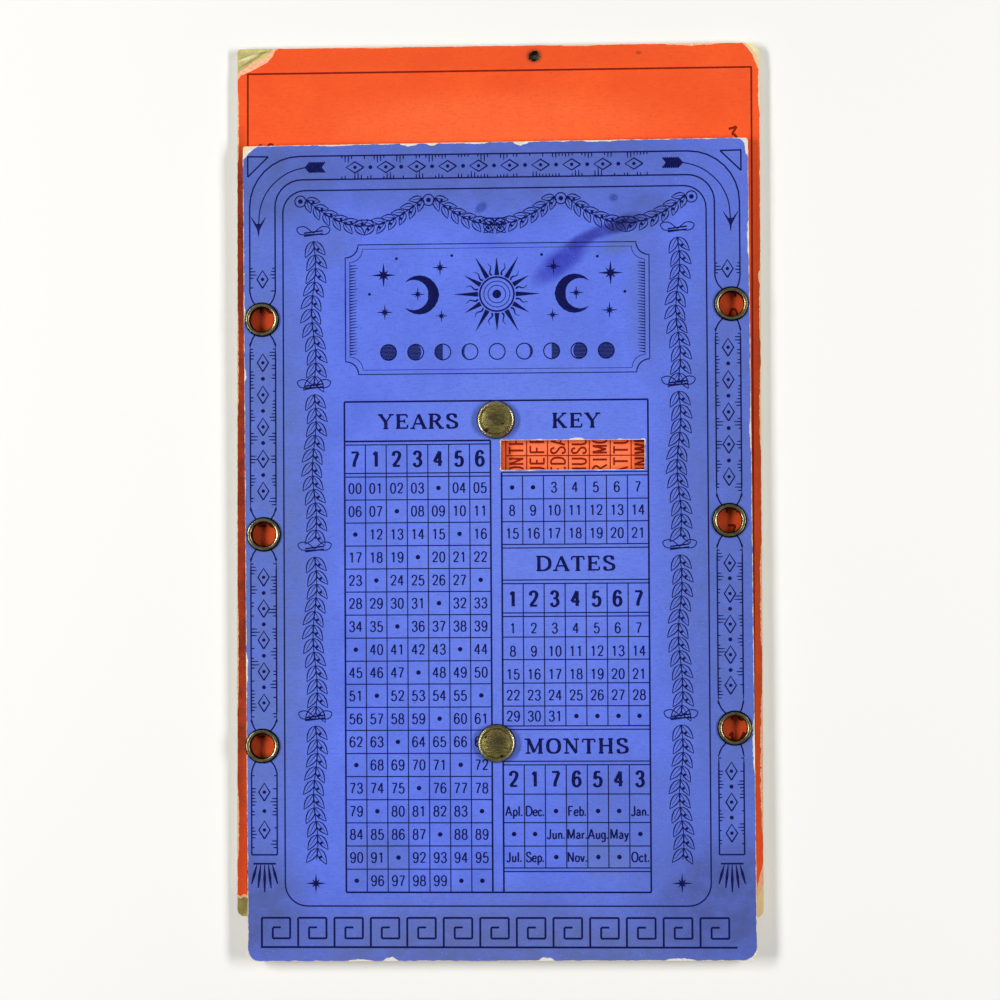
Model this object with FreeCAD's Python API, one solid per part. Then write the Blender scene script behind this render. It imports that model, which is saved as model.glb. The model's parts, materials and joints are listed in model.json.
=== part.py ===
import FreeCAD, Part
import math
import os
from FreeCAD import Vector

# Perpetual calendar of two pasteboard cards, lying on its back, in millimetres.
# X runs across the cards, Y up them and Z out of the printed face.
# The face card lies on the slide card. Two paper fasteners, fixed in the face card,
# run in two slots in the slide card, so that the face card slides along Y.

# Cards
FACE_WIDTH = 85.7
FACE_LENGTH = 138.1
FACE_TRIM_SKEW = 0.38             # degrees: the face card was cut this far out of square with its print
SLIDE_WIDTH = 88.9
SLIDE_LENGTH = 147.6
CENTRE_OFFSET = 11.87             # the slide card's centre above the face card's centre, at rest
BOARD = 0.84                      # pulp board
PAPER = 0.13                      # facing and lining papers
CARD_GAP = 0.45                   # the rolled backs of the eyelets hold the cards this far apart

# Calendar rows, which set how far the face card slides
ROWS = 7
ROW_PITCH = 5.14
REST_ROW = 0.5                    # at rest the window shows the line between the two lowest rows
OVER_TRAVEL = 0.3
TRAVEL_DOWN = REST_ROW * ROW_PITCH + OVER_TRAVEL
TRAVEL_UP = (ROWS - 1 - REST_ROW) * ROW_PITCH + OVER_TRAVEL

# Window for the weekday row, measured from the face card's centre
WINDOW_WIDTH = 24.2
WINDOW_HEIGHT = 5.0
WINDOW_CENTRE = (12.67, 15.98)

# Eyelets, measured from the face card's centre: they were set by eye, so no two pitches agree
EYELETS = {
    "eyelet_left_top": (-39.95, 39.15),
    "eyelet_left_middle": (-39.65, 2.75),
    "eyelet_left_bottom": (-39.88, -33.0),
    "eyelet_right_top": (39.45, 41.25),
    "eyelet_right_middle": (38.95, 4.85),
    "eyelet_right_bottom": (39.7, -29.95),
}
EYELET_BORE = 2.03
EYELET_WALL = 0.2
EYELET_FLANGE = 2.95
EYELET_RISE = 0.45                # rolled flange above the printed face
EYELET_BACK = 2.7
EYELET_BACK_RISE = 0.35           # rolled back behind the face card
HOLE_CLEARANCE = 0.05

# Paper fasteners, measured from the face card's centre
FASTENERS = {
    "fastener_top": (-0.25, 21.93),
    "fastener_bottom": (-0.25, -32.5),
}
CAP_RADIUS = 3.25
CAP_HEIGHT = 1.3
CAP_METAL = 0.22
CAP_LIP = 1.95                    # inner radius of the edge that is turned under
CAP_SHOULDER = 2.45               # radius where the crown meets the rounded edge
CAP_SHOULDER_DROP = 0.2
CAP_EDGE_RADIUS = 0.3
STRIP_METAL = 0.28
STRIP_WIDTH = 2.6
STRIP_GAP = 0.04                  # between the two legs, where they lie together
HEAD_HALF_LENGTH = 1.75           # the folded loop of strip that the cap grips
HEAD_BEND = 0.17                  # radius of the loop's folds, on the strip's middle line
HEAD_CLEARANCE = 0.02
LEG_LENGTHS = (9.0, 10.0)         # left leg and right leg: one is longer, to part them with a nail
LEG_TIP_WIDTH = 1.8
LEG_CLEARANCE = 0.12              # between the spread legs and the slide card's back
LEG_BEND = 0.3                    # radius of the bend at each leg's root, on its middle line
SLIT_LENGTH = 3.1
SLIT_WIDTH = 1.0

# Slots in the slide card
SLOT_WIDTH = 1.6
SLOT_END_CLEARANCE = 0.12

# Nail hole in the slide card, measured from the middle of its top edge
NAIL_HOLE_RADIUS = 1.0
NAIL_HOLE_OFFSET = (6.3, -1.85)

# Worn corners: how far each corner is rounded, or torn back to the board
FACE_CORNER_WEAR = {"top_left": 0.5, "top_right": 0.5, "bottom_right": 1.3, "bottom_left": 1.0}
FACE_CORNER_TORN = {"top_left": 2.3, "top_right": 1.6}
SLIDE_CORNER_WEAR = {"top_left": 0.6, "top_right": 1.8, "bottom_right": 2.2, "bottom_left": 2.0}
SLIDE_TEAR_ACROSS = 6.5
SLIDE_TEAR_DOWN = 5.0

SAME_POINT = 1e-6                 # two points nearer than this are one

# Levels, from the underside of the spread legs at Z = 0
SLIDE_BACK = STRIP_METAL + LEG_CLEARANCE
SLIDE_BOARD_BACK = SLIDE_BACK + PAPER
SLIDE_BOARD_FRONT = SLIDE_BOARD_BACK + BOARD
SLIDE_FRONT = SLIDE_BOARD_FRONT + PAPER
FACE_BACK = SLIDE_FRONT + CARD_GAP
FACE_BOARD_BACK = FACE_BACK + PAPER
FACE_BOARD_FRONT = FACE_BOARD_BACK + BOARD
FACE_FRONT = FACE_BOARD_FRONT + PAPER

# The origin is under the middle of the whole, between the slide card's top edge
# and the lowest corner of the skewed face card
SKEW = math.radians(FACE_TRIM_SKEW)
FACE_REACH_DOWN = FACE_LENGTH / 2 * math.cos(SKEW) + FACE_WIDTH / 2 * math.sin(SKEW)
FACE_Y = (FACE_REACH_DOWN - SLIDE_LENGTH / 2 - CENTRE_OFFSET) / 2
SLIDE_Y = FACE_Y + CENTRE_OFFSET


def prism(outline, low, high):
    """Stand a closed wire, drawn at Z = 0, up as a solid between two levels."""
    solid = Part.Face(outline).extrude(Vector(0, 0, high - low))
    solid.translate(Vector(0, 0, low))
    return solid


def closed_polygon(points):
    return Part.makePolygon([Vector(x, y, 0) for x, y in points + points[:1]])


def box(centre, width, length, low, high):
    x, y = centre
    return Part.makeBox(width, length, high - low, Vector(x - width / 2, y - length / 2, low))


def rounded_slot(x, y_low, y_high, width, low, high):
    """A slot along Y with round ends, from end to end y_low to y_high."""
    radius = width / 2
    depth = high - low
    straight = Part.makeBox(width, y_high - y_low - width, depth, Vector(x - radius, y_low + radius, low))
    ends = [Part.makeCylinder(radius, depth, Vector(x, y, low)) for y in (y_low + radius, y_high - radius)]
    return straight.fuse(ends).removeSplitter()


def card_outline(width, length, wear):
    """A card's edge about its own centre, with each corner rounded by the wear it has had."""
    corners = [("bottom_left", -1, -1), ("bottom_right", 1, -1), ("top_right", 1, 1), ("top_left", -1, 1)]
    middle_cut = 1 - math.sqrt(0.5)
    arcs = []
    for index, (name, side_x, side_y) in enumerate(corners):
        worn = wear[name]
        corner = Vector(side_x * width / 2, side_y * length / 2, 0)
        along_x = corner - Vector(side_x * worn, 0, 0)
        along_y = corner - Vector(0, side_y * worn, 0)
        middle = corner - Vector(side_x * worn * middle_cut, side_y * worn * middle_cut, 0)
        first, last = (along_y, along_x) if index % 2 == 0 else (along_x, along_y)
        arcs.append((first, middle, last))
    edges = []
    for index, (first, middle, last) in enumerate(arcs):
        edges.append(Part.Arc(first, middle, last).toShape())
        edges.append(Part.LineSegment(last, arcs[(index + 1) % 4][0]).toShape())
    return Part.Wire(edges)


def place_face(shape):
    """Turn a face card outline by the skew of its trim and set it at the face card's centre."""
    shape.rotate(Vector(0, 0, 0), Vector(0, 0, 1), FACE_TRIM_SKEW)
    shape.translate(Vector(0, FACE_Y, 0))
    return shape


def on_face(point):
    return point[0], point[1] + FACE_Y


def corner_wedge(width, length, side_x, side_y, across, down):
    """The outline of what tears off a facing paper at one corner."""
    x, y = side_x * width / 2, side_y * length / 2
    margin = 1.0
    return closed_polygon([
        (x + side_x * margin, y + side_y * margin),
        (x - side_x * across, y + side_y * margin),
        (x - side_x * across, y),
        (x - side_x * across * 0.75, y - side_y * down * 0.3),
        (x - side_x * across * 0.3, y - side_y * down * 0.65),
        (x, y - side_y * down),
        (x + side_x * margin, y - side_y * down),
    ])


def face_openings(low, high):
    """What is punched through the face card: the window, six eyelet holes and two slits."""
    cutters = [box(on_face(WINDOW_CENTRE), WINDOW_WIDTH, WINDOW_HEIGHT, low, high)]
    hole_radius = EYELET_BORE + EYELET_WALL + HOLE_CLEARANCE
    for centre in EYELETS.values():
        x, y = on_face(centre)
        cutters.append(Part.makeCylinder(hole_radius, high - low, Vector(x, y, low)))
    for centre in FASTENERS.values():
        cutters.append(box(on_face(centre), SLIT_WIDTH, SLIT_LENGTH, low, high))
    return cutters


def face_ply(low, high, torn):
    """One layer of the face card. Its facing paper is torn back at the top corners."""
    outline = card_outline(FACE_WIDTH, FACE_LENGTH, FACE_CORNER_WEAR)
    layer = place_face(prism(outline, low, high))
    cutters = face_openings(low, high)
    for name, size in torn.items():
        side_x = -1 if name.endswith("left") else 1
        wedge = corner_wedge(FACE_WIDTH, FACE_LENGTH, side_x, 1, size, size)
        cutters.append(place_face(prism(wedge, low, high)))
    return layer.cut(cutters)


def slot_span(fastener_y):
    """The two ends of the slot that one fastener runs in."""
    reach = STRIP_WIDTH / 2 + SLOT_END_CLEARANCE
    return fastener_y - TRAVEL_DOWN - reach, fastener_y + TRAVEL_UP + reach


def slide_ply(low, high, torn):
    """One layer of the slide card, with its two slots and the nail hole at its top."""
    layer = prism(card_outline(SLIDE_WIDTH, SLIDE_LENGTH, SLIDE_CORNER_WEAR), low, high)
    layer.translate(Vector(0, SLIDE_Y, 0))
    cutters = []
    for centre in FASTENERS.values():
        x, y = on_face(centre)
        y_low, y_high = slot_span(y)
        cutters.append(rounded_slot(x, y_low, y_high, SLOT_WIDTH, low, high))
    nail_x, nail_y = nail_hole_centre()
    cutters.append(Part.makeCylinder(NAIL_HOLE_RADIUS, high - low, Vector(nail_x, nail_y, low)))
    if torn:
        wedge = corner_wedge(SLIDE_WIDTH, SLIDE_LENGTH, -1, 1, SLIDE_TEAR_ACROSS, SLIDE_TEAR_DOWN)
        tear = prism(wedge, low, high)
        tear.translate(Vector(0, SLIDE_Y, 0))
        cutters.append(tear)
    return layer.cut(cutters)


def nail_hole_centre():
    return NAIL_HOLE_OFFSET[0], SLIDE_Y + SLIDE_LENGTH / 2 + NAIL_HOLE_OFFSET[1]


def section_arc(start, middle, end):
    """An arc through three (radius, level) points of a turned section."""
    return Part.Arc(*[Vector(r, 0, z) for r, z in (start, middle, end)]).toShape()


def section_line(start, end):
    return Part.LineSegment(*[Vector(r, 0, z) for r, z in (start, end)]).toShape()


def turned(edges):
    """Spin a closed section, drawn in the XZ plane, about Z."""
    return Part.Face(Part.Wire(edges)).revolve(Vector(0, 0, 0), Vector(0, 0, 1), 360)


def eyelet(centre):
    """A brass eyelet: its flange is rolled onto the printed face and its tube is rolled out behind."""
    inner = EYELET_BORE
    outer = EYELET_BORE + EYELET_WALL
    front_middle = (inner + EYELET_FLANGE) / 2
    back_middle = (inner + EYELET_BACK) / 2
    front_under = (outer + EYELET_FLANGE - EYELET_WALL) / 2
    back_under = (outer + EYELET_BACK - EYELET_WALL) / 2
    top = FACE_FRONT
    back = FACE_BACK
    edges = [
        section_line((inner, back), (inner, top)),
        section_arc((inner, top), (front_middle, top + EYELET_RISE), (EYELET_FLANGE, top)),
        section_line((EYELET_FLANGE, top), (EYELET_FLANGE - EYELET_WALL, top)),
        section_arc((EYELET_FLANGE - EYELET_WALL, top), (front_under, top + EYELET_RISE - EYELET_WALL),
                    (outer, top)),
        section_line((outer, top), (outer, back)),
        section_arc((outer, back), (back_under, back - EYELET_BACK_RISE + EYELET_WALL),
                    (EYELET_BACK - EYELET_WALL, back)),
        section_line((EYELET_BACK - EYELET_WALL, back), (EYELET_BACK, back)),
        section_arc((EYELET_BACK, back), (back_middle, back - EYELET_BACK_RISE), (inner, back)),
    ]
    ring = turned(edges)
    x, y = on_face(centre)
    ring.translate(Vector(x, y, 0))
    return ring


def fastener_cap(centre):
    """A stamped brass cap: a shallow crown, a rounded edge, and a lip turned under to grip the strip."""
    base = FACE_FRONT
    metal = CAP_METAL
    crown_radius = (CAP_SHOULDER ** 2 + CAP_SHOULDER_DROP ** 2) / (2 * CAP_SHOULDER_DROP)
    crown_centre = base + CAP_HEIGHT - crown_radius

    def on_crown(radius, depth):
        return radius, crown_centre + math.sqrt((crown_radius - depth) ** 2 - radius ** 2)

    edge = base + CAP_EDGE_RADIUS
    turn = CAP_EDGE_RADIUS * math.sqrt(0.5)
    bead = CAP_RADIUS - CAP_EDGE_RADIUS
    inner_bead = CAP_EDGE_RADIUS - metal
    inner_turn = inner_bead * math.sqrt(0.5)
    shoulder = on_crown(CAP_SHOULDER, 0)
    inner_shoulder = on_crown(CAP_SHOULDER - metal * 0.2, metal)
    side = (CAP_SHOULDER + (CAP_RADIUS - CAP_SHOULDER) * 0.72, edge + (shoulder[1] - edge) * 0.66)
    inner_side = (side[0] - metal * 0.8, side[1] - metal * 0.6)
    edges = [
        section_arc(on_crown(0, 0), on_crown(CAP_SHOULDER / 2, 0), shoulder),
        section_arc(shoulder, side, (CAP_RADIUS, edge)),
        section_arc((CAP_RADIUS, edge), (bead + turn, edge - turn), (bead, base)),
        section_line((bead, base), (CAP_LIP, base)),
        section_line((CAP_LIP, base), (CAP_LIP, base + metal)),
        section_line((CAP_LIP, base + metal), (bead, base + metal)),
        section_arc((bead, base + metal), (bead + inner_turn, edge - inner_turn), (CAP_RADIUS - metal, edge)),
        section_arc((CAP_RADIUS - metal, edge), inner_side, inner_shoulder),
        section_arc(inner_shoulder, on_crown(CAP_SHOULDER / 2, metal), on_crown(0, metal)),
        section_line(on_crown(0, metal), on_crown(0, 0)),
    ]
    cap = turned(edges)
    x, y = on_face(centre)
    cap.translate(Vector(x, y, 0))
    return cap


def strip_side(corners, bends, offset):
    """One side of a bent strip: its middle line moved sideways, with every bend about the same centre."""
    edges = []
    last = None
    for index in range(1, len(corners) - 1):
        before = corners[index] - corners[index - 1]
        after = corners[index + 1] - corners[index]
        before.normalize()
        after.normalize()
        turn = before.x * after.z - before.z * after.x
        bend = bends[index - 1]
        set_back = bend * math.tan(before.getAngle(after) / 2)
        side_before = Vector(-before.z, 0, before.x)
        side_after = Vector(-after.z, 0, after.x)
        start = corners[index] - before * set_back
        end = corners[index] + after * set_back
        inward = side_before if turn > 0 else side_before * -1
        centre = start + inward * bend
        radius = bend - offset if turn > 0 else bend + offset
        bisector = corners[index] - centre
        bisector.normalize()
        first = start + side_before * offset
        if last is None:
            last = corners[0] + side_before * offset
        if last.distanceToPoint(first) > SAME_POINT:
            edges.append(Part.LineSegment(last, first).toShape())
        last = end + side_after * offset
        edges.append(Part.Arc(first, centre + bisector * radius, last).toShape())
    final = corners[-1] - corners[-2]
    final.normalize()
    tip = corners[-1] + Vector(-final.z, 0, final.x) * offset
    edges.append(Part.LineSegment(last, tip).toShape())
    return edges


def prong_strip(centre):
    """One brass strip folded in two: a flat loop under the cap and two legs spread behind the cards."""
    half = STRIP_METAL / 2
    neck = STRIP_GAP / 2 + half
    left_leg, right_leg = LEG_LENGTHS
    low_layer = FACE_FRONT + CAP_METAL + HEAD_CLEARANCE + half
    high_layer = low_layer + 2 * HEAD_BEND
    spread = half
    corners = [Vector(x, 0, z) for x, z in (
        (-left_leg, spread),
        (-neck, spread),
        (-neck, low_layer),
        (-HEAD_HALF_LENGTH, low_layer),
        (-HEAD_HALF_LENGTH, high_layer),
        (HEAD_HALF_LENGTH, high_layer),
        (HEAD_HALF_LENGTH, low_layer),
        (neck, low_layer),
        (neck, spread),
        (right_leg, spread),
    )]
    bends = [LEG_BEND] + [HEAD_BEND] * 6 + [LEG_BEND]
    one_side = strip_side(corners, bends, half)
    other_side = strip_side(corners, bends, -half)
    ends = [
        Part.LineSegment(one_side[-1].Vertexes[-1].Point, other_side[-1].Vertexes[-1].Point).toShape(),
        Part.LineSegment(other_side[0].Vertexes[0].Point, one_side[0].Vertexes[0].Point).toShape(),
    ]
    section = Part.Wire(Part.__sortEdges__(one_side + other_side + ends))
    strip = Part.Face(section).extrude(Vector(0, STRIP_WIDTH, 0))
    strip.translate(Vector(0, -STRIP_WIDTH / 2, 0))
    strip = strip.common(leg_plan(left_leg, right_leg))
    x, y = on_face(centre)
    strip.translate(Vector(x, y, 0))
    return strip


def leg_plan(left_leg, right_leg):
    """The strip seen from above: full width at the head, narrowing to a rounded tip on each leg."""
    root = HEAD_HALF_LENGTH + STRIP_METAL + HEAD_BEND
    half_width = STRIP_WIDTH / 2
    half_tip = LEG_TIP_WIDTH / 2
    upper = [
        (-left_leg + half_tip, half_tip),
        (-root, half_width),
        (root, half_width),
        (right_leg - half_tip, half_tip),
    ]
    lower = [(x, -y) for x, y in reversed(upper)]
    edges = []
    for run in (upper, lower):
        for start, end in zip(run, run[1:]):
            edges.append(Part.LineSegment(Vector(*start, 0), Vector(*end, 0)).toShape())
    for tip_x, inner_x in ((right_leg, right_leg - half_tip), (-left_leg, -left_leg + half_tip)):
        tip = [Vector(inner_x, half_tip, 0), Vector(tip_x, 0, 0), Vector(inner_x, -half_tip, 0)]
        edges.append(Part.Arc(*tip).toShape())
    outline = Part.Wire(Part.__sortEdges__(edges))
    return prism(outline, -1, FACE_FRONT + CAP_HEIGHT)


def build():
    parts = {
        "slide_card_back_sheet": slide_ply(SLIDE_BACK, SLIDE_BOARD_BACK, torn=False),
        "slide_card_board": slide_ply(SLIDE_BOARD_BACK, SLIDE_BOARD_FRONT, torn=False),
        "slide_card_front_sheet": slide_ply(SLIDE_BOARD_FRONT, SLIDE_FRONT, torn=True),
        "face_card_back_sheet": face_ply(FACE_BACK, FACE_BOARD_BACK, torn={}),
        "face_card_board": face_ply(FACE_BOARD_BACK, FACE_BOARD_FRONT, torn={}),
        "face_card_print_sheet": face_ply(FACE_BOARD_FRONT, FACE_FRONT, torn=FACE_CORNER_TORN),
    }
    for name, centre in EYELETS.items():
        parts[name] = eyelet(centre)
    for name, centre in FASTENERS.items():
        parts[name + "_cap"] = fastener_cap(centre)
        parts[name + "_prongs"] = prong_strip(centre)
    return parts


os.makedirs("parts", exist_ok=True)
for node, solid in build().items():
    solid.exportStep(os.path.join("parts", node + ".step"))
    size = solid.BoundBox
    print("%-24s valid %s solids %d volume %.2f mm3  x %.2f..%.2f  y %.2f..%.2f  z %.3f..%.3f" % (
        node, solid.isValid(), len(solid.Solids), solid.Volume,
        size.XMin, size.XMax, size.YMin, size.YMax, size.ZMin, size.ZMax))
nail = nail_hole_centre()
window = on_face(WINDOW_CENTRE)
print("face card centre y %.4f, slide card centre y %.4f" % (FACE_Y, SLIDE_Y))
print("nail hole centre %.4f, %.4f at level %.4f" % (nail[0], nail[1], (SLIDE_BACK + SLIDE_FRONT) / 2))
print("window centre %.4f, %.4f" % window)
print("slide card front %.3f, face card front %.3f" % (SLIDE_FRONT, FACE_FRONT))
print("travel %.4f down, %.4f up" % (TRAVEL_DOWN, TRAVEL_UP))
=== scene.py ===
import math
import bmesh
import bpy
from mathutils import Matrix, Vector, noise
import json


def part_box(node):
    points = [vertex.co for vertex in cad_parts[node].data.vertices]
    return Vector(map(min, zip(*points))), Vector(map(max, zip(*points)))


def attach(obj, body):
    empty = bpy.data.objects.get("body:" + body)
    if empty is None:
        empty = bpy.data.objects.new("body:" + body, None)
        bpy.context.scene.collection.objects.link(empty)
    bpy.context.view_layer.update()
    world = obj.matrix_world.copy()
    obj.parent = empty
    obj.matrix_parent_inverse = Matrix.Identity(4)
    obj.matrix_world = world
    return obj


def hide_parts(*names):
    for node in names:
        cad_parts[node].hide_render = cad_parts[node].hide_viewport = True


# A perpetual calendar of two pasteboard cards, face up as it lies on a desk.
# Lengths are in millimetres until a mesh is finished, and then in metres.
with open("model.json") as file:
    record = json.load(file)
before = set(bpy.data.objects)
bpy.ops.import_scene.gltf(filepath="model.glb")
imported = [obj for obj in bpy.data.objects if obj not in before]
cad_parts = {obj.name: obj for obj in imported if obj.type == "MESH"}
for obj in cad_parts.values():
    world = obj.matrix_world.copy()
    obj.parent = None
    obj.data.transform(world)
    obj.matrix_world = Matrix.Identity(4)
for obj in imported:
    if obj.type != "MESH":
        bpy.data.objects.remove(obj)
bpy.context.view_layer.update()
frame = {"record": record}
MM = 0.001


def linear(colour):
    """An sRGB hex colour as the linear colour that a shader takes."""
    parts = [int(colour[i:i + 2], 16) / 255 for i in (1, 3, 5)]
    return tuple(c / 12.92 if c <= 0.04045 else ((c + 0.055) / 1.055) ** 2.4 for c in parts) + (1.0,)


def add_node(tree, kind, inputs=None, **settings):
    """Add a shader node. An input is given a value, or is linked where a socket is given."""
    node = tree.nodes.new("ShaderNode" + kind)
    for name, value in settings.items():
        setattr(node, name, value)
    for key, value in (inputs or {}).items():
        if isinstance(value, bpy.types.NodeSocket):
            tree.links.new(value, node.inputs[key])
        else:
            node.inputs[key].default_value = value
    return node


# Slide card board
# Pulp board, olive and cream from age, cut to size with its corners knocked round by handling.
# Two slots let the fasteners travel, and a tack has been driven through near the top edge.
def levels_of(node):
    """The lowest and highest levels of a node, in millimetres."""
    low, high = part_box(node)
    return low[2] / MM, high[2] / MM


def middle_of(node):
    """The middle of a node seen from above, in millimetres."""
    low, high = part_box(node)
    return (low[0] + high[0]) / 2 / MM, (low[1] + high[1]) / 2 / MM


def arc(x, y, radius, start, stop, steps=8):
    """Points on an arc, with its angles in degrees."""
    turns = [math.radians(start + (stop - start) * step / steps) for step in range(steps + 1)]
    return [Vector((x + radius * math.cos(turn), y + radius * math.sin(turn))) for turn in turns]


EDGE_STEP = 0.35                  # between two points of a worn edge


def worn_edge(width, length, corners, fray, chips=(), seed=0.0):
    """Points round a card's edge, each moved in a little by fraying and by the chips knocked out of it.

    A corner is a radius, or a torn outline in distances from the square corner. A chip is a place, a
    reach and a depth."""
    half_width, half_length = width / 2, length / 2
    path = []
    for name, side_x, side_y, turn in (("bottom_left", -1, -1, 180), ("bottom_right", 1, -1, 270),
                                       ("top_right", 1, 1, 0), ("top_left", -1, 1, 90)):
        shape = corners[name]
        if isinstance(shape, tuple):
            path += [Vector((side_x * (half_width - dx), side_y * (half_length - dy))) for dx, dy in shape]
        else:
            middle = Vector((side_x * (half_width - shape), side_y * (half_length - shape)))
            path += [middle + shape * ahead for ahead in arc(0, 0, 1, turn, turn + 90, 5)]
    points = []
    for first, last in zip(path, path[1:] + path[:1]):
        along = last - first
        steps = max(1, round(along.length / EDGE_STEP))
        inward = Vector((-along.y, along.x)).normalized()
        for step in range(steps):
            point = first + along * (step / steps)
            spot = Vector((point.x, point.y, seed))
            depth = fray * (0.5 + 0.5 * noise.noise(spot * 0.9)) + fray * 0.5 * abs(noise.noise(spot * 3.1))
            for chip_x, chip_y, reach, bite in chips:
                near = 1 - ((point.x - chip_x) ** 2 + (point.y - chip_y) ** 2) / reach ** 2
                if near > 0:
                    depth += bite * math.sqrt(near) * (0.75 + 0.5 * noise.noise(spot * 2.3))
            points.append(point + inward * depth)
    return points


def cut_sheet(name, outline, holes, low, high, body, node, material, place=Matrix()):
    """A flat sheet with holes, filled between its edges and given its thickness."""
    sheet = bmesh.new()
    edges = []
    for loop in [outline] + holes:
        corners = [sheet.verts.new((point[0], point[1], low)) for point in loop]
        edges += [sheet.edges.new(pair) for pair in zip(corners, corners[1:] + corners[:1])]
    bmesh.ops.triangle_fill(sheet, use_beauty=True, edges=edges)
    top = bmesh.ops.extrude_face_region(sheet, geom=sheet.faces[:])
    raised = [part for part in top["geom"] if isinstance(part, bmesh.types.BMVert)]
    bmesh.ops.translate(sheet, vec=(0, 0, high - low), verts=raised)
    bmesh.ops.recalc_face_normals(sheet, faces=sheet.faces)
    finish_piece(name, sheet, body, node, material, place)


def finish_piece(name, shape, body, node, material, place=Matrix(), smooth=False):
    """Turn a shape in millimetres into a piece in metres that rides on its body."""
    bmesh.ops.transform(shape, matrix=Matrix.Scale(MM, 4) @ place, verts=shape.verts)
    mesh = bpy.data.meshes.new(name)
    shape.to_mesh(mesh)
    shape.free()
    for face in mesh.polygons:
        face.use_smooth = smooth
    mesh.materials.append(material)
    piece = bpy.data.objects.new(name, mesh)
    bpy.context.scene.collection.objects.link(piece)
    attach(piece, body)
    if node:
        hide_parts(node)


HOLE_STEPS = 36


def ring_hole(x, y, radius, ragged=0.0):
    """A round hole. A ragged one has a torn edge."""
    points = []
    for step in range(HOLE_STEPS):
        angle = 2 * math.pi * step / HOLE_STEPS
        reach = radius + ragged * noise.noise(Vector((x + 3 * math.cos(angle), y + 3 * math.sin(angle), 5.0)))
        points.append(Vector((x + reach * math.cos(angle), y + reach * math.sin(angle))))
    return points


def slot_hole(x, low, high, width):
    """A slot along Y with round ends."""
    radius = width / 2
    return arc(x, high - radius, radius, 0, 180) + arc(x, low + radius, radius, 180, 360)


def surface_noise(tree, coords, size, detail=3.0, roughness=0.6):
    """Noise whose lumps are about this many millimetres across."""
    made = add_node(tree, "TexNoise", {"Vector": coords, "Scale": 1 / (size * MM), "Detail": detail,
                                       "Roughness": roughness})
    return made.outputs["Fac"]


def ranged(tree, value, low, high, out_low=0.0, out_high=1.0):
    """A value's place between low and high, held within them and carried over to another range."""
    made = add_node(tree, "MapRange", {"Value": value, "From Min": low, "From Max": high,
                                       "To Min": out_low, "To Max": out_high})
    return made.outputs["Result"]


def blended(tree, factor, first, second):
    """Two colours mixed by a factor."""
    made = add_node(tree, "Mix", {0: factor, 6: first, 7: second}, data_type="RGBA")
    return made.outputs[2]


def product(tree, first, second):
    return add_node(tree, "Math", {0: first, 1: second}, operation="MULTIPLY").outputs[0]


def patch(tree, coords, centre, half_size, turn=0.0, core=0.35):
    """A soft oval patch on a card: 1 in its middle and 0 outside, the shape that a stain, a fade or a patch
    of painted shade takes.
    """
    moved = add_node(tree, "Mapping", {
        "Vector": coords, "Location": (centre[0] * MM, centre[1] * MM, 0.0),
        "Rotation": (0, 0, math.radians(turn)), "Scale": (half_size[0] * MM, half_size[1] * MM, 1.0)},
        vector_type="TEXTURE")
    away = add_node(tree, "VectorMath", {0: moved.outputs[0]}, operation="LENGTH").outputs["Value"]
    made = add_node(tree, "MapRange", {"Value": away, "From Min": core, "From Max": 1.0, "To Min": 1.0,
                                       "To Max": 0.0}, interpolation_type="SMOOTHSTEP")
    return made.outputs["Result"]


def new_material(name, roughness=0.85, metallic=0.0, gloss=0.2):
    """An empty material with its shader and its object coordinates."""
    made = bpy.data.materials.new(name)
    made.use_nodes = True
    tree = made.node_tree
    shader = tree.nodes["Principled BSDF"]
    shader.inputs["Roughness"].default_value = roughness
    shader.inputs["Metallic"].default_value = metallic
    shader.inputs["Specular IOR Level"].default_value = gloss
    coords = add_node(tree, "TexCoord").outputs["Object"]
    return made, tree, shader, coords


def bump(tree, shader, height, strength, depth):
    """Let a pattern stand out from the surface by up to this depth in millimetres."""
    made = add_node(tree, "Bump", {"Height": height, "Strength": strength, "Distance": depth * MM})
    tree.links.new(made.outputs["Normal"], shader.inputs["Normal"])


def facing_up(tree):
    """How far the surface faces up: 1 on a card's face, 0 at its cut edge and -1 on its back."""
    normal = add_node(tree, "NewGeometry").outputs["Normal"]
    return add_node(tree, "SeparateXYZ", {0: normal}).outputs["Z"]


def stained(tree, coords, colour, patches):
    """Soft patches over a colour: stains, fades, and painted light and shade. Each is a colour, a place, a
    half size, a turn and a strength.
    """
    for tint, centre, half_size, turn, strength in patches:
        uneven = ranged(tree, surface_noise(tree, coords, 3.0, 4.0), 0.25, 0.6, 0.55 * strength, strength)
        area = product(tree, patch(tree, coords, centre, half_size, turn), uneven)
        colour = blended(tree, area, colour, linear(tint))
    return colour


def pulp_board(name, face_colour, dark_colour, cut_colour, patches=()):
    """Pulp board: grey-flecked and fibrous, in thin layers at its cut edge, and darker or lighter in the
    patches given.
    """
    made, tree, shader, coords = new_material(name, roughness=0.95)
    mottle = surface_noise(tree, coords, 2.2, 4.0)
    colour = blended(tree, ranged(tree, mottle, 0.35, 0.7), linear(face_colour), linear(dark_colour))
    fibre = surface_noise(tree, coords, 0.28, 2.0)
    colour = blended(tree, ranged(tree, fibre, 0.5, 0.75, 0.0, 0.45), colour, linear(cut_colour))
    stretched = add_node(tree, "Mapping", {"Vector": coords, "Scale": (1.0, 1.0, 14.0)}).outputs[0]
    layers = surface_noise(tree, stretched, 1.6, 3.0)
    level = add_node(tree, "Math", {0: facing_up(tree)}, operation="ABSOLUTE").outputs[0]
    cut = product(tree, ranged(tree, level, 0.5, 0.4), ranged(tree, layers, 0.4, 0.62, 0.15, 0.85))
    colour = blended(tree, cut, colour, linear(cut_colour))
    tree.links.new(stained(tree, coords, colour, patches), shader.inputs["Base Color"])
    bump(tree, shader, fibre, 0.5, 0.12)
    return made


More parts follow.
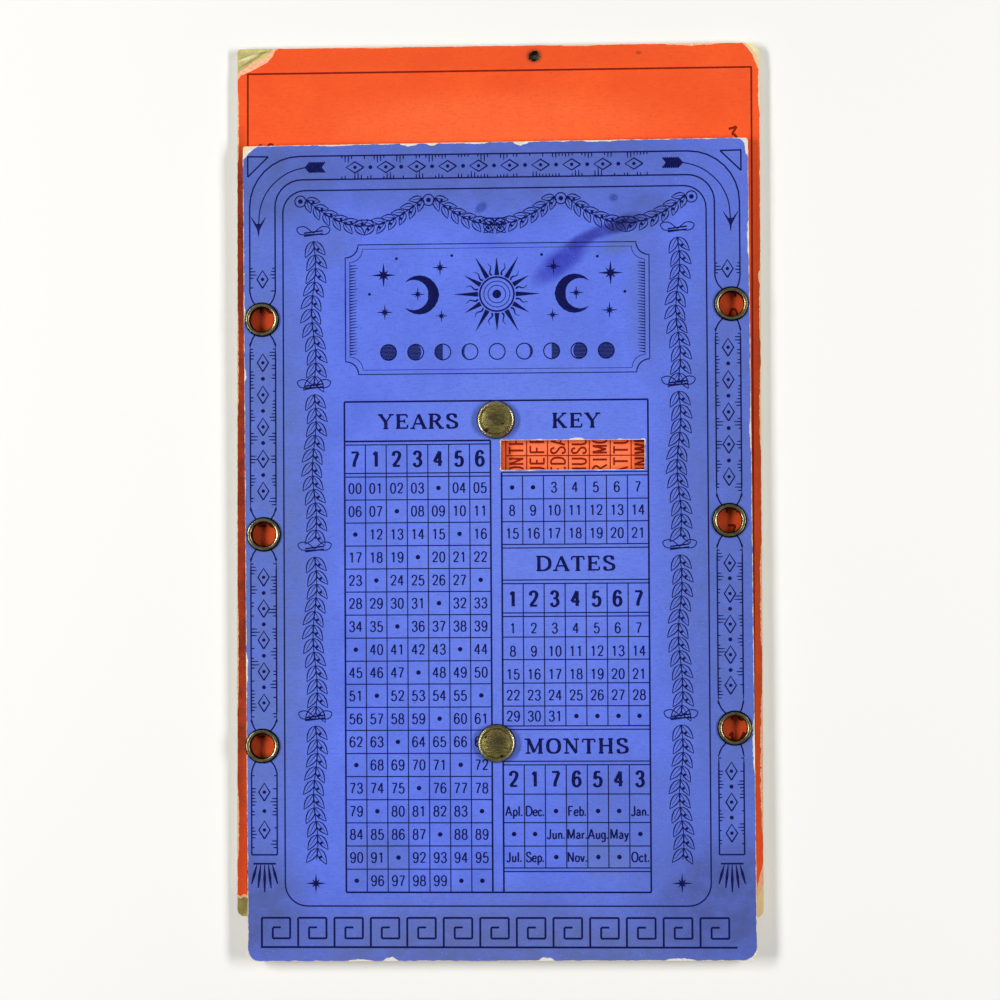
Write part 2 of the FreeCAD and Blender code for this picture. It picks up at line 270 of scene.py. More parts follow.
SLIDE_WIDTH = 88.9
SLIDE_LENGTH = 147.6
slide_x, slide_y = middle_of("slide_card_board")
on_slide = Matrix.Translation((slide_x, slide_y, 0))
SLIDE_CORNERS = {"bottom_left": 1.2, "bottom_right": 1.6, "top_right": 2.2, "top_left": 0.6}

# The slots reach as far as the fasteners travel, past both ends of each strip
joint = next(j for j in frame["record"]["behaviour"]["joints"] if j["name"] == "face_card_slide")
travel_down, travel_up = (limit / MM for limit in joint["range_m"])
SLOT_WIDTH = 1.6
STRIP_WIDTH = 2.6
END_CLEARANCE = 0.12
fasteners = {end: middle_of("fastener_" + end + "_cap") for end in ("top", "bottom")}
nail_x, nail_y = (value / MM for value in frame["record"]["mounts"][0]["pos_m"][:2])
# The radius and raggedness of the nail hole in each ply
NAIL_HOLES = {"board": (0.95, 0.1), "core": (0.98, 0.2), "skin": (0.97, 0.4), "lining": (0.4, 0.25)}
# Rust round the tack hole in every ply, and painted shade: its dark colour also makes the hole itself look
# dark.
NAIL_RUST_AND_SHADE = ("#2c0f07", (nail_x, nail_y), (3.4, 3.2), 0, 1.0)
slide_board_material = pulp_board("pulp board, olive with age", "#d6c985", "#a89a58", "#e8dfa8",
                                  [NAIL_RUST_AND_SHADE, ("#f6e8b0", (43.0, 78.0), (9.0, 9.0), 0, 1.0),
                                   # The thin dark and light patches at the torn top left corner are painted
                                   # shade and a painted highlight along its creases.
                                   ("#857a38", (-41.4, 76.4), (3.4, 0.3), 14, 1.0),
                                   ("#8d8140", (-42.2, 75.3), (3.2, 0.28), 30, 0.9),
                                   ("#f4ecc4", (-42.4, 76.0), (2.4, 0.35), 20, 0.9),
                                   ("#7d7034", (-44.0, -68.0), (3.0, 3.0), 0, 0.8),
                                   ("#ecd09a", (44.0, -66.0), (5.0, 10.0), 0, 1.0)])


def slide_holes(ply):
    """What is cut through one ply of the slide card."""
    reach = STRIP_WIDTH / 2 + END_CLEARANCE
    holes = []
    for x, y in fasteners.values():
        low, high = y - slide_y + travel_down - reach, y - slide_y + travel_up + reach
        holes.append(slot_hole(x - slide_x, low, high, SLOT_WIDTH))
    return holes + [ring_hole(nail_x - slide_x, nail_y - slide_y, *NAIL_HOLES[ply])]


board_low, board_high = levels_of("slide_card_board")
cut_sheet("slide_card_pulp_board", worn_edge(SLIDE_WIDTH, SLIDE_LENGTH, SLIDE_CORNERS, 0.12, seed=1.0),
          slide_holes("board"), board_low, board_high, "slide_card", "slide_card_board",
          slide_board_material, on_slide)

# Slide card papers
# Orange surface-coloured paper on a cream core, pasted to the board's face, and a plain lining behind.
# The coloured surface is torn back at the top left corner and chipped along every edge.
SLIDE_TEAR = ((7.0, 0.0), (6.4, 0.5), (6.0, 1.4), (5.2, 2.3), (4.2, 2.9), (3.0, 3.5), (1.6, 4.1), (0.6, 4.5),
              (0.0, 5.4))
SLIDE_TEAR_CORE = ((6.2, 0.0), (5.6, 0.7), (4.9, 1.3), (3.9, 1.8), (2.7, 2.3), (1.6, 3.1), (0.7, 3.7),
                   (0.0, 4.3))


def surface_paper(name, middle, edge, dark, core, patches, fleck):
    """Surface-coloured printing paper: faded, mottled where it was handled, flecked with fibres.

    Its cut edge shows the cream core. The patches are its stains and fades, and painted light and shade."""
    made, tree, shader, coords = new_material(name, roughness=0.72)
    cloud = surface_noise(tree, coords, 9.0, 5.0, 0.65)
    colour = blended(tree, ranged(tree, cloud, 0.3, 0.7), linear(middle), linear(edge))
    colour = stained(tree, coords, colour, patches)
    grain = surface_noise(tree, coords, 0.45, 3.0, 0.7)
    colour = blended(tree, ranged(tree, grain, 0.52, 0.75, 0.0, 0.35), colour, linear(dark))
    along = add_node(tree, "Mapping", {"Vector": coords, "Scale": (1.0, 5.0, 1.0)}).outputs[0]
    laid = surface_noise(tree, along, 1.5, 4.0, 0.7)
    colour = blended(tree, ranged(tree, laid, 0.48, 0.68, 0.0, 0.3), colour, linear(dark))
    specks = surface_noise(tree, coords, 0.3, 1.0)
    colour = blended(tree, ranged(tree, specks, 0.68, 0.78, 0.0, 0.4), colour, linear(fleck))
    colour = blended(tree, ranged(tree, facing_up(tree), 0.6, 0.3), colour, linear(core))
    tree.links.new(colour, shader.inputs["Base Color"])
    bump(tree, shader, surface_noise(tree, coords, 0.6, 4.0, 0.7), 0.35, 0.05)
    return made


def torn_fibre(name, colour, shadow, patches=()):
    """The cream core of the paper, woolly where its surface has come away."""
    made, tree, shader, coords = new_material(name, roughness=0.95)
    wool = surface_noise(tree, coords, 0.5, 4.0, 0.7)
    woolly = blended(tree, ranged(tree, wool, 0.35, 0.7), linear(colour), linear(shadow))
    tree.links.new(stained(tree, coords, woolly, patches), shader.inputs["Base Color"])
    bump(tree, shader, wool, 0.7, 0.1)
    return made


HEIGHTS = ("top", "middle", "bottom")
eyelet_spots = {side + "_" + height: middle_of("eyelet_" + side + "_" + height)
                for side in ("left", "right") for height in HEIGHTS}
# The paper under the left side of each eyelet is painted darker, as painted shade inside the eyelet's hole
painted_shade_in_eyelets = [("#7c220a", (x - 1.3, y + 0.3), (2.6, 3.4), 0, 0.6) for x, y in eyelet_spots.values()]
slide_patches = painted_shade_in_eyelets + [
    # Painted light along the orange just above the face card, darker paper along the top edge, rust round the
    # tack hole, painted shade of the face card down both side strips, and the rows under the window lighter,
    # partly faded and partly painted light.
    ("#ff6a34", (0.0, 64.0), (40.0, 7.5), 0, 0.9),
    ("#e9521f", (0.0, 75.5), (46.0, 3.0), 0, 0.6),
    ("#4a180a", (nail_x, nail_y), (1.75, 1.6), 0, 1.0),
    ("#a5401c", (24.0, 76.0), (0.7, 0.5), 0, 0.9),
    ("#6f2412", (-43.9, -6.0), (2.8, 74.0), 0, 0.9),
    ("#6f2412", (-43.9, 46.0), (2.6, 21.0), 0, 1.0),
    ("#97350f", (43.9, 0.0), (2.6, 70.0), 0, 0.65),
    ("#ff8a5c", (12.7, 7.7), (19.0, 6.0), 0, 0.75),
]
orange_paper = surface_paper("orange surface-coloured paper", "#fb5c22", "#f05220", "#d24416", "#f3c9a4",
                             slide_patches, "#ff8a58")
orange_core = torn_fibre("torn core of the orange paper", "#fbcba6", "#f09a6c",
                         [NAIL_RUST_AND_SHADE, ("#e2bf8c", (0.0, -68.0), (60.0, 14.0), 0, 1.0),
                          ("#f3dcae", (44.0, 40.0), (4.0, 60.0), 0, 0.9)])
rubbed = [("#a18a58", (x, y + (travel_down + travel_up) / 2), (7.5, (travel_up - travel_down) * 0.75), 0, 0.6)
          for x, y in fasteners.values()]
lining = torn_fibre("buff lining paper", "#cdbb96", "#b9a47c", [NAIL_RUST_AND_SHADE] + rubbed)
SKIN = 0.05                       # how much of the facing is coloured

front_low, front_high = levels_of("slide_card_front_sheet")
back_low, back_high = levels_of("slide_card_back_sheet")
slide_chips = [(14.0, 73.8, 3.0, 0.25), (33.0, 73.8, 4.5, 0.35), (-20.0, 73.8, 5.0, 0.12),
               (44.45, 66.0, 4.0, 0.3), (44.45, 34.0, 1.0, 0.5), (44.45, 28.0, 5.0, 0.25),
               (44.45, 12.0, 7.0, 0.3),
               (-44.45, 60.0, 6.0, 0.25), (-44.45, 20.0, 9.0, 0.2), (-44.45, -30.0, 9.0, 0.25),
               (44.45, -20.0, 9.0, 0.35), (44.45, -48.0, 12.0, 0.5), (-44.45, -58.0, 6.0, 0.35),
               (-30.0, -73.8, 8.0, 0.3), (25.0, -73.8, 9.0, 0.35)]
skin_corners = {"bottom_left": ((0.0, 3.7), (0.6, 3.4), (1.2, 3.8), (1.8, 3.5), (3.0, 2.6), (4.0, 1.4),
                                (5.0, 0.0)),
                "bottom_right": ((4.5, 0.0), (2.6, 1.2), (1.7, 3.0), (1.1, 5.0), (0.6, 7.0), (0.0, 9.2)),
                "top_left": SLIDE_TEAR,
                "top_right": ((0.0, 4.6), (0.7, 3.2), (1.2, 2.0), (2.0, 0.8), (3.0, 0.0))}
core_corners = {"bottom_left": ((0.0, 3.2), (0.6, 3.0), (1.3, 3.3), (2.0, 2.9), (3.2, 1.8), (4.2, 0.0)),
                "bottom_right": ((4.0, 0.0), (2.1, 1.1), (1.2, 2.9), (0.5, 4.6), (0.0, 5.8)),
                "top_left": SLIDE_TEAR_CORE,
                "top_right": ((0.0, 3.9), (0.5, 2.8), (1.0, 1.6), (1.7, 0.6), (2.5, 0.0))}
cut_sheet("slide_card_paper_core", worn_edge(SLIDE_WIDTH, SLIDE_LENGTH, core_corners, 0.1, seed=2.0),
          slide_holes("core"), front_low, front_high - SKIN, "slide_card", None,
          orange_core, on_slide)
cut_sheet("slide_card_orange_paper",
          worn_edge(SLIDE_WIDTH, SLIDE_LENGTH, skin_corners, 0.18, slide_chips, seed=3.0),
          slide_holes("skin"), front_high - SKIN, front_high, "slide_card", "slide_card_front_sheet",
          orange_paper, on_slide)
cut_sheet("slide_card_lining", worn_edge(SLIDE_WIDTH, SLIDE_LENGTH, SLIDE_CORNERS, 0.3, seed=4.0),
          slide_holes("lining"), back_low, back_high, "slide_card", "slide_card_back_sheet",
          lining, on_slide)

# Face card board and papers
# The same make of card in a smaller size, faced with blue. It was trimmed a little out of square
# with its print. A window is cut for the weekday row, and holes are punched for the eyelets.
FACE_WIDTH = 85.7
FACE_LENGTH = 138.1
TRIM_SKEW = 0.38
face_x, face_y = middle_of("face_card_board")
on_face = Matrix.Translation((face_x, face_y, 0))
trimmed = on_face @ Matrix.Rotation(math.radians(TRIM_SKEW), 4, "Z")
untrimmed = Matrix.Rotation(math.radians(-TRIM_SKEW), 2)
WINDOW = (12.67, 15.98, 24.2, 5.0)
EYELET_HOLE = 2.28
SLIT_WIDTH = 1.0
SLIT_LENGTH = 3.1


def frayed_window(back, fray, chips=(), seed=0.0):
    """The window's edge. Its paper is pulled back and frayed where it was cut through."""
    centre_x, centre_y, width, height = WINDOW
    corners = {name: 0.15 for name in ("bottom_left", "bottom_right", "top_right", "top_left")}
    edge = worn_edge(width + 2 * back, height + 2 * back, corners, -fray, chips, seed)
    return [point + Vector((centre_x, centre_y)) for point in edge]


def face_holes(window):
    """What is cut through one ply of the face card, in the skewed card's own axes."""
    holes = [window]
    for x, y in eyelet_spots.values():
        holes.append(ring_hole(x - face_x, y - face_y, EYELET_HOLE))
    for x, y in fasteners.values():
        holes.append([Vector((x - face_x + sx * SLIT_WIDTH / 2, y - face_y + sy * SLIT_LENGTH / 2))
                      for sx, sy in ((-1, -1), (1, -1), (1, 1), (-1, 1))])
    return [[untrimmed @ point for point in hole] for hole in holes]


# Painted light and shade: the broad patches make the blue lighter in the middle and darker towards the edges
# and corners. The small dark patches over the panel are stains.
face_patches = [
    ("#6a82e8", (4.0, -8.0), (36.0, 50.0), 0, 0.75),
    ("#5363aa", (0.0, 58.0), (54.0, 13.0), 0, 0.8),
    ("#5a679e", (0.0, -77.0), (56.0, 15.0), 0, 0.9),
    ("#5d70b0", (-42.0, -8.0), (17.0, 84.0), 0, 0.8),
    ("#5769ad", (42.0, -8.0), (19.0, 84.0), 0, 0.8),
    ("#4f5f9c", (-38.0, 54.0), (14.0, 11.0), 0, 0.75),
    ("#4c5890", (-43.0, -68.0), (15.0, 13.0), 0, 0.85),
    ("#46528a", (40.0, -67.0), (23.0, 14.0), 0, 0.85),
    ("#4a5a9a", (25.0, 49.0), (7.0, 5.0), 10, 0.6),
    ("#3038b4", (11.0, 40.6), (7.6, 2.9), 39, 0.95),
    ("#2c30a0", (14.2, 43.8), (3.6, 1.5), 25, 0.95),
    ("#3038a0", (18.0, 45.6), (6.4, 1.5), 17, 0.9),
    ("#20205e", (21.6, 46.9), (4.2, 1.9), 24, 0.9),
    ("#5a709f", (21.0, 43.4), (5.0, 2.2), 20, 0.6),
    ("#38449c", (19.7, 51.2), (1.1, 0.9), 0, 0.9),
    ("#2a3892", (-2.7, 49.7), (1.6, 1.1), 40, 0.9),
    ("#6a78b8", (18.5, -59.4), (6.5, 5.5), 15, 0.55),
    ("#5c6eb8", (22.0, -54.0), (15.0, 17.0), 0, 0.5),
    ("#5c6eb8", (-20.5, -60.0), (9.0, 7.0), 0, 0.5),
    ("#5a6cb4", (25.5, 34.0), (5.0, 18.0), 0, 0.55),
    ("#5a6cb4", (-29.0, 44.0), (7.0, 6.0), 0, 0.55),
]
blue_paper = surface_paper("blue surface-coloured paper", "#647df0", "#586fdc", "#4254b4", "#ded9d2",
                           face_patches, "#8fa2f6")
blue_core = torn_fibre("torn core of the blue paper", "#f1ead8", "#cfc7c0")
face_board_material = pulp_board("pulp board, cream", "#f8eac0", "#dfcb92", "#fbf2d6")
face_low, face_high = levels_of("face_card_board")
print_low, print_high = levels_of("face_card_print_sheet")
liner_low, liner_high = levels_of("face_card_back_sheet")
FACE_CORNERS = {"bottom_left": 1.0, "bottom_right": 1.3, "top_right": 0.5, "top_left": 0.5}
face_core_corners = {"bottom_left": 1.2, "bottom_right": 1.6, "top_right": 0.7,
                     "top_left": ((1.7, 0.0), (1.1, 0.4), (0.5, 0.9), (0.0, 1.5))}
face_skin_corners = {"bottom_left": 1.9, "bottom_right": 2.4,
                     "top_right": ((0.0, 3.1), (0.3, 2.7), (0.4, 1.7), (0.6, 0.9), (0.9, 0.35), (1.5, 0.0)),
                     "top_left": ((2.6, 0.0), (1.6, 0.6), (0.8, 1.4), (0.0, 2.3))}
half_w, half_l = FACE_WIDTH / 2, FACE_LENGTH / 2
face_chips = [(-14.5, half_l, 1.4, 0.5), (-10.6, half_l, 0.9, 0.45), (4.6, half_l, 1.3, 0.75),
              (-27.0, half_l, 3.0, 0.25), (-3.0, half_l, 2.0, 0.3), (18.0, half_l, 3.0, 0.2),
              (-half_w, 40.5, 0.9, 0.3), (-half_w, 30.0, 0.9, 0.35), (-half_w, -20.0, 3.0, 0.25),
              (half_w, 20.0, 4.0, 0.25), (half_w, -33.0, 5.0, 0.3), (half_w, 52.0, 3.0, 0.3),
              (7.6, -half_l, 1.2, 0.7), (-18.6, -half_l, 1.1, 0.9), (-24.0, -half_l, 2.0, 0.3),
              (30.0, -half_l, 2.5, 0.35)]
WINDOW_CHIPS = [(0.7, 2.5, 1.2, -0.4), (-12.1, -2.4, 0.5, -0.22), (-12.0, 2.3, 0.4, -0.12),
                (12.0, 2.4, 0.5, -0.2), (-5.5, 2.5, 0.5, -0.14), (8.0, 2.5, 0.6, -0.18),
                (-7.0, -2.5, 0.6, -0.16), (4.5, -2.5, 0.5, -0.14)]
cut_sheet("face_card_pulp_board", worn_edge(FACE_WIDTH, FACE_LENGTH, FACE_CORNERS, 0.08, seed=5.0),
          face_holes(frayed_window(0.0, 0.0)), face_low, face_high, "face_card", "face_card_board",
          face_board_material, trimmed)
cut_sheet("face_card_paper_core", worn_edge(FACE_WIDTH, FACE_LENGTH, face_core_corners, 0.12, seed=6.0),
          face_holes(frayed_window(0.0, 0.04, seed=3.0)), print_low, print_high - SKIN, "face_card", None,
          blue_core, trimmed)
cut_sheet("face_card_blue_paper",
          worn_edge(FACE_WIDTH, FACE_LENGTH, face_skin_corners, 0.22, face_chips, seed=7.0),
          face_holes(frayed_window(0.0, 0.12, WINDOW_CHIPS, 5.0)), print_high - SKIN, print_high, "face_card",
          "face_card_print_sheet", blue_paper, trimmed)
cut_sheet("face_card_lining", worn_edge(FACE_WIDTH, FACE_LENGTH, FACE_CORNERS, 0.2, seed=8.0),
          face_holes(frayed_window(0.05, 0.1, seed=7.0)), liner_low, liner_high, "face_card",
          "face_card_back_sheet", lining, trimmed)

# Printing on the slide card
# Letterpress in one dark ink from set type and brass rule. On the orange paper it dries to maroon.
# The ink stands a few hundredths of a millimetre proud, so each stroke is a low, closed ridge.
# Each letter is one unit high and has a width, then strokes: o an oval, c a curve, l a heavy line,
# t a line that is fine in roman type, s a serif, which only roman type has, and b a full stop.
GLYPHS = {
    "0": (0.66, "o .32 .5 .23 .5"),
    "1": (0.66, "l .36 0 .36 1; t .36 .98 .17 .8"),
    "2": (0.66, "c .1 .72 .15 .92 .33 1 .51 .9 .53 .7 .4 .42 .1 .05; t .08 .04 .56 .04"),
    "3": (0.66, "c .1 .78 .2 .96 .34 1 .5 .9 .5 .66 .36 .54 .24 .53;"
                "c .24 .53 .42 .52 .54 .36 .54 .16 .36 0 .18 .04 .09 .22"),
    "4": (0.66, "l .43 0 .43 1; t .42 1 .06 .3; t .06 .3 .6 .3"),
    "5": (0.66, "t .5 .97 .14 .97; t .17 .97 .12 .5;"
                "c .12 .5 .3 .62 .48 .56 .55 .34 .48 .08 .3 0 .15 .05 .09 .2"),
    "6": (0.66, "c .53 .8 .44 .96 .3 1 .15 .86 .09 .5 .13 .14 .32 0 .5 .12 .55 .34 .46 .56 .3 .6 .14 .48 "
                ".1 .34"),
    "7": (0.66, "t .08 .97 .56 .97; c .55 .95 .42 .62 .3 .3 .26 0"),
    "8": (0.66, "o .32 .76 .19 .24; o .32 .27 .23 .27"),
    "9": (0.66, "c .11 .2 .2 .04 .34 0 .49 .14 .55 .5 .51 .86 .32 1 .14 .88 .09 .66 .18 .44 .34 .4 "
                ".5 .52 .54 .66"),
    "A": (0.74, "t .08 0 .36 1; l .36 1 .66 0; t .18 .32 .56 .32; s .08 0; s .66 0"),
    "D": (0.76, "l .14 0 .14 1; c .14 .98 .42 .98 .65 .75 .65 .25 .42 .02 .14 .02; s .14 0; s .14 1"),
    "E": (0.66, "l .14 0 .14 1; t .14 .98 .56 .98; t .14 .02 .58 .02; t .14 .52 .44 .52; s .03 .98 .14 .98;"
                "s .03 .02 .14 .02; s .56 .98 .57 .76; s .58 .02 .6 .26; s .44 .66 .44 .38"),
    "F": (0.62, "l .14 0 .14 1; t .14 .98 .55 .98; t .14 .52 .44 .52"),
    "H": (0.78, "l .15 0 .15 1; l .61 0 .61 1; t .15 .52 .61 .52; s .15 0; s .61 0; s .15 1; s .61 1"),
    "I": (0.36, "l .17 0 .17 1"),
    "J": (0.5, "c .36 1 .36 .6 .36 .2 .28 .02 .12 .02 .05 .16"),
    "K": (0.76, "l .15 0 .15 1; t .6 .98 .15 .4; l .3 .56 .62 0; s .15 0; s .15 1; s .63 0; s .6 1"),
    "M": (0.92, "t .15 0 .15 1; l .17 1 .45 .05; t .45 .05 .75 1; l .75 1 .75 0; s .15 0; s .75 0;"
               "s .1 .99; s .79 .99"),
    "N": (0.78, "t .14 0 .14 1; l .14 1 .62 0; t .62 0 .62 1; s .14 0; s .09 .99; s .62 .99"),
    "O": (0.76, "o .37 .5 .29 .5"),
    "R": (0.76, "l .15 0 .15 1; c .15 .98 .4 .98 .55 .76 .4 .52 .15 .5; l .36 .5 .63 0;"
               "s .15 0; s .13 1; s .65 0"),
    "S": (0.6, "c .5 .76 .42 .95 .28 1 .11 .9 .13 .66 .32 .5 .51 .35 .5 .1 .3 0 .14 .04 .08 .24;"
              "s .5 1 .5 .72; s .07 0 .07 .28"),
    "T": (0.68, "l .33 0 .33 1; t .04 .97 .62 .97; s .04 .97 .03 .74; s .62 .97 .63 .74; s .33 0"),
    "U": (0.76, "c .15 1 .15 .6 .15 .28 .24 .04 .38 0 .52 .04 .6 .28 .6 .6 .6 1"),
    "W": (0.98, "l .06 1 .26 0; t .26 0 .47 1; l .47 1 .67 0; t .67 0 .88 1"),
    "Y": (0.72, "l .08 1 .35 .44; t .62 1 .35 .44; l .35 .46 .35 0; s .08 .99; s .62 .99; s .35 0"),
    "Z": (0.66, "t .08 .88 .56 1; t .56 1 .28 .58;"
                "c .28 .58 .42 .57 .53 .46 .55 .28 .48 .07 .3 0 .15 .05 .09 .2"),
    "a": (0.5, "c .08 .48 .2 .61 .34 .56 .38 .4; l .38 .42 .38 0; c .38 .36 .16 .32 .07 .15 .18 .01 .38 .14"),
    "b": (0.52, "l .12 0 .12 1; c .12 .46 .28 .62 .44 .46 .44 .16 .28 0 .12 .14"),
    "c": (0.46, "c .4 .46 .26 .61 .08 .46 .08 .14 .26 0 .41 .13"),
    "e": (0.48, "t .08 .33 .42 .33; c .42 .34 .38 .54 .25 .61 .08 .46 .08 .14 .27 0 .42 .13"),
    "g": (0.52, "o .24 .32 .17 .29; c .42 .6 .42 .3 .42 -.14 .26 -.3 .08 -.2"),
    "l": (0.26, "l .13 0 .13 1"),
    "n": (0.54, "l .12 0 .12 .6; c .12 .42 .26 .6 .4 .5 .42 .34 .42 .16 .42 0"),
    "o": (0.5, "o .25 .31 .18 .3"),
    "p": (0.52, "l .12 -.32 .12 .6; c .12 .46 .28 .62 .44 .46 .44 .16 .28 0 .12 .14"),
    "r": (0.4, "l .12 0 .12 .6; c .12 .38 .22 .56 .36 .57"),
    "t": (0.36, "c .16 .84 .16 .5 .16 .14 .2 .02 .33 .04; t .04 .6 .31 .6"),
    "u": (0.54, "c .12 .6 .12 .42 .12 .2 .16 .04 .28 .01 .42 .16; l .42 .6 .42 0"),
    "v": (0.5, "l .06 .6 .24 0; t .24 0 .42 .6"),
    "y": (0.5, "l .06 .6 .25 .02; c .43 .6 .34 .3 .22 -.12 .06 -.3"),
    ".": (0.24, "b .1 .07"),
}
SERIF_REACH = 0.12                # each side of a stroke's end, over the height


def smooth_run(corners, steps=4):
    """Points on a smooth curve through the corners."""
    ends = [corners[0] * 2 - corners[1]] + corners + [corners[-1] * 2 - corners[-2]]
    points = []
    for a, b, c, d in zip(ends, ends[1:], ends[2:], ends[3:]):
        for step in range(steps):
            t = step / steps
            points.append(0.5 * (2 * b + (c - a) * t + (2 * a - 5 * b + 4 * c - d) * t ** 2
                                 + (3 * b - a - 3 * c + d) * t ** 3))
    return points + [corners[-1]]


def oval(x, y, radius_x, radius_y, steps=18, squareness=0.85):
    """A closed oval, a little squared as in condensed type."""
    points = []
    for step in range(steps + 1):
        across, up = math.sin(2 * math.pi * step / steps), math.cos(2 * math.pi * step / steps)
        points.append(Vector((x + radius_x * math.copysign(abs(across) ** squareness, across),
                              y + radius_y * math.copysign(abs(up) ** squareness, up))))
    return points


def pen(points, stem, hair):
    """Widths along a stroke of type: heavy where it runs up and down, and finer where it runs across."""
    widths = []
    for index in range(len(points)):
        along = points[min(index + 1, len(points) - 1)] - points[max(index - 1, 0)]
        along.normalize()
        widths.append(math.hypot(stem * along.y, hair * along.x))
    return widths


def swelling(points, *widths):
    """A stroke whose width runs smoothly through these values from its start to its end."""
    spread = []
    for index in range(len(points)):
        at = index / (len(points) - 1) * (len(widths) - 1)
        low = min(int(at), len(widths) - 2)
        spread.append(widths[low] + (widths[low + 1] - widths[low]) * (at - low))
    return points, spread


def dot(x, y, radius):
    """A round dot, as one short stroke that swells and closes."""
    reach = [math.cos(math.pi * step / 8) for step in range(8, -1, -1)]
    widths = [2 * radius * max(math.sin(math.pi * step / 8), 0.12) for step in range(9)]
    return [Vector((x + radius * r, y)) for r in reach], widths


def glyph(letter, stem, hair, roman):
    """The strokes of one letter and how far it moves the line on."""
    advance, code = GLYPHS[letter]
    strokes = []
    for part in code.split(";"):
        kind, *values = part.split()
        values = [float(value) for value in values]
        pairs = [Vector(pair) for pair in zip(values[0::2], values[1::2])]
        if kind == "o":
            pairs = oval(*values)
        elif kind == "c":
            pairs = smooth_run(pairs)
        if kind == "b":
            strokes.append(dot(values[0], values[1], 0.5 * stem))
        elif kind == "s":
            reach = Vector((SERIF_REACH, 0))
            ends = pairs if len(pairs) == 2 else [pairs[0] - reach, pairs[0] + reach]
            strokes += [(ends, hair)] if roman else []
        elif kind == "t" and roman:
            strokes.append((pairs, hair))
        else:
            strokes.append((pairs, pen(pairs, stem, hair)))
    return strokes, advance


def set_type(text, x, y, height, stem=0.12, hair=0.1, roman=False, turn=0.0, tracking=0.0, squeeze=1.0):
    """A line of type centred on a point, as strokes. Stem and hair are stroke widths over the height."""
    strokes = []
    pen_x = 0.0
    for letter in text:
        drawn, advance = glyph(letter, stem, hair, roman)
        for points, widths in drawn:
            strokes.append(([Vector((pen_x + p.x * squeeze, p.y)) for p in points], widths))
        pen_x += advance * squeeze + tracking
    middle = Vector(((pen_x - tracking) / 2, 0.5))
    turning = Matrix.Rotation(math.radians(turn), 2)
    placed = []
    for points, widths in strokes:
        sized = [Vector((x, y)) + turning @ ((p - middle) * height) for p in points]
        thick = [w * height for w in widths] if isinstance(widths, list) else widths * height
        placed.append((sized, thick))
    return placed


INK_RISE = 0.16                   # height of an ink ridge over its width


def print_ink(name, strokes, level, body, slot, material, place):
    """Print strokes on a card: each is a low ridge, closed at its ends, that sits on the paper."""
    curve = bpy.data.curves.new(name, "CURVE")
    curve.dimensions = "3D"
    curve.twist_mode = "Z_UP"
    curve.bevel_depth = 0.5
    curve.bevel_resolution = 0
    curve.use_fill_caps = True
    for points, widths in strokes:
        if not isinstance(widths, list):
            widths = [widths] * len(points)
        line = curve.splines.new("POLY")
        line.points.add(len(points) - 1)
        for knot, point, width in zip(line.points, points, widths):
            knot.co = (point[0], point[1], 0.0, 1.0)
            knot.radius = width
    drawing = bpy.data.objects.new(name + "_drawing", curve)
    bpy.context.scene.collection.objects.link(drawing)
    bpy.context.view_layer.update()
    mesh = bpy.data.meshes.new_from_object(drawing.evaluated_get(bpy.context.evaluated_depsgraph_get()))
    bpy.data.objects.remove(drawing)
    bpy.data.curves.remove(curve)
    ridge = bmesh.new()
    ridge.from_mesh(mesh)
    bpy.data.meshes.remove(mesh)
    flatten = Matrix.Diagonal((1.0, 1.0, INK_RISE, 1.0))
    bmesh.ops.transform(ridge, matrix=Matrix.Translation((0, 0, level)) @ flatten, verts=ridge.verts)
    finish_piece(name, ridge, body, None, material, place)


def printing_ink(name, colour, thin_colour):
    """Letterpress ink: dark and matt, thinner where the block printed light or the paper has worn."""
    made, tree, shader, coords = new_material(name, roughness=0.7, gloss=0.1)
    cover = surface_noise(tree, coords, 0.5, 3.0, 0.7)
    worn = surface_noise(tree, coords, 7.0, 3.0)
    light = product(tree, ranged(tree, cover, 0.45, 0.75), ranged(tree, worn, 0.4, 0.7, 0.25, 1.0))
    tree.links.new(blended(tree, light, linear(colour), linear(thin_colour)), shader.inputs["Base Color"])
    return made


maroon_ink = printing_ink("dark ink on orange paper", "#7c1803", "#a62e0c")
SLIDE_INK = (front_high, "slide_card", "orange_printed_paper", maroon_ink, on_slide)
RULE = 0.2
WEEK = 7                          # columns in every table, and rows of weekday names
ROW_PITCH = 5.14
COLUMN_PITCH = 3.53               # ten points
NAME_LENGTH = 4.6
NAME_HEIGHT = 2.4
WEEKDAYS = ("SUN", "MON", "TUE", "WED", "THU", "FRI", "SAT")
CENTURY_CODES = (3, 6, 2, 5, 1, 4, 0)     # weekday shift of each row, from the lowest row up
GRID_LEFT = 1.32
GRID_MIDDLE = 4.05                # the line between the two lowest rows
grid_low = GRID_MIDDLE - ROW_PITCH


def rule(x1, y1, x2, y2, width=RULE):
    """A straight line of brass rule."""
    return [Vector((x1, y1)), Vector((x2, y2))], width


FRAME_RULE = 0.32
slide_rules = [rule(-42.6, 69.4, 43.0, 69.6, FRAME_RULE), rule(-42.6, 69.5, -42.6, -69.5, FRAME_RULE),
               rule(43.0, 69.7, 43.0, -69.5, FRAME_RULE), rule(-42.7, -69.5, 43.1, -69.5, FRAME_RULE)]
GRID_MARGIN = -0.21               # a second line left of the grid, in columns
grid_right = GRID_LEFT + WEEK * COLUMN_PITCH
for row in range(WEEK + 1):
    slide_rules.append(rule(GRID_LEFT, grid_low + row * ROW_PITCH, grid_right, grid_low + row * ROW_PITCH))
for column in [GRID_MARGIN] + list(range(WEEK + 1)):
    across = GRID_LEFT + column * COLUMN_PITCH
    slide_rules.append(rule(across, grid_low, across, grid_low + WEEK * ROW_PITCH))
print_ink("slide_card_printed_rules", slide_rules, *SLIDE_INK)

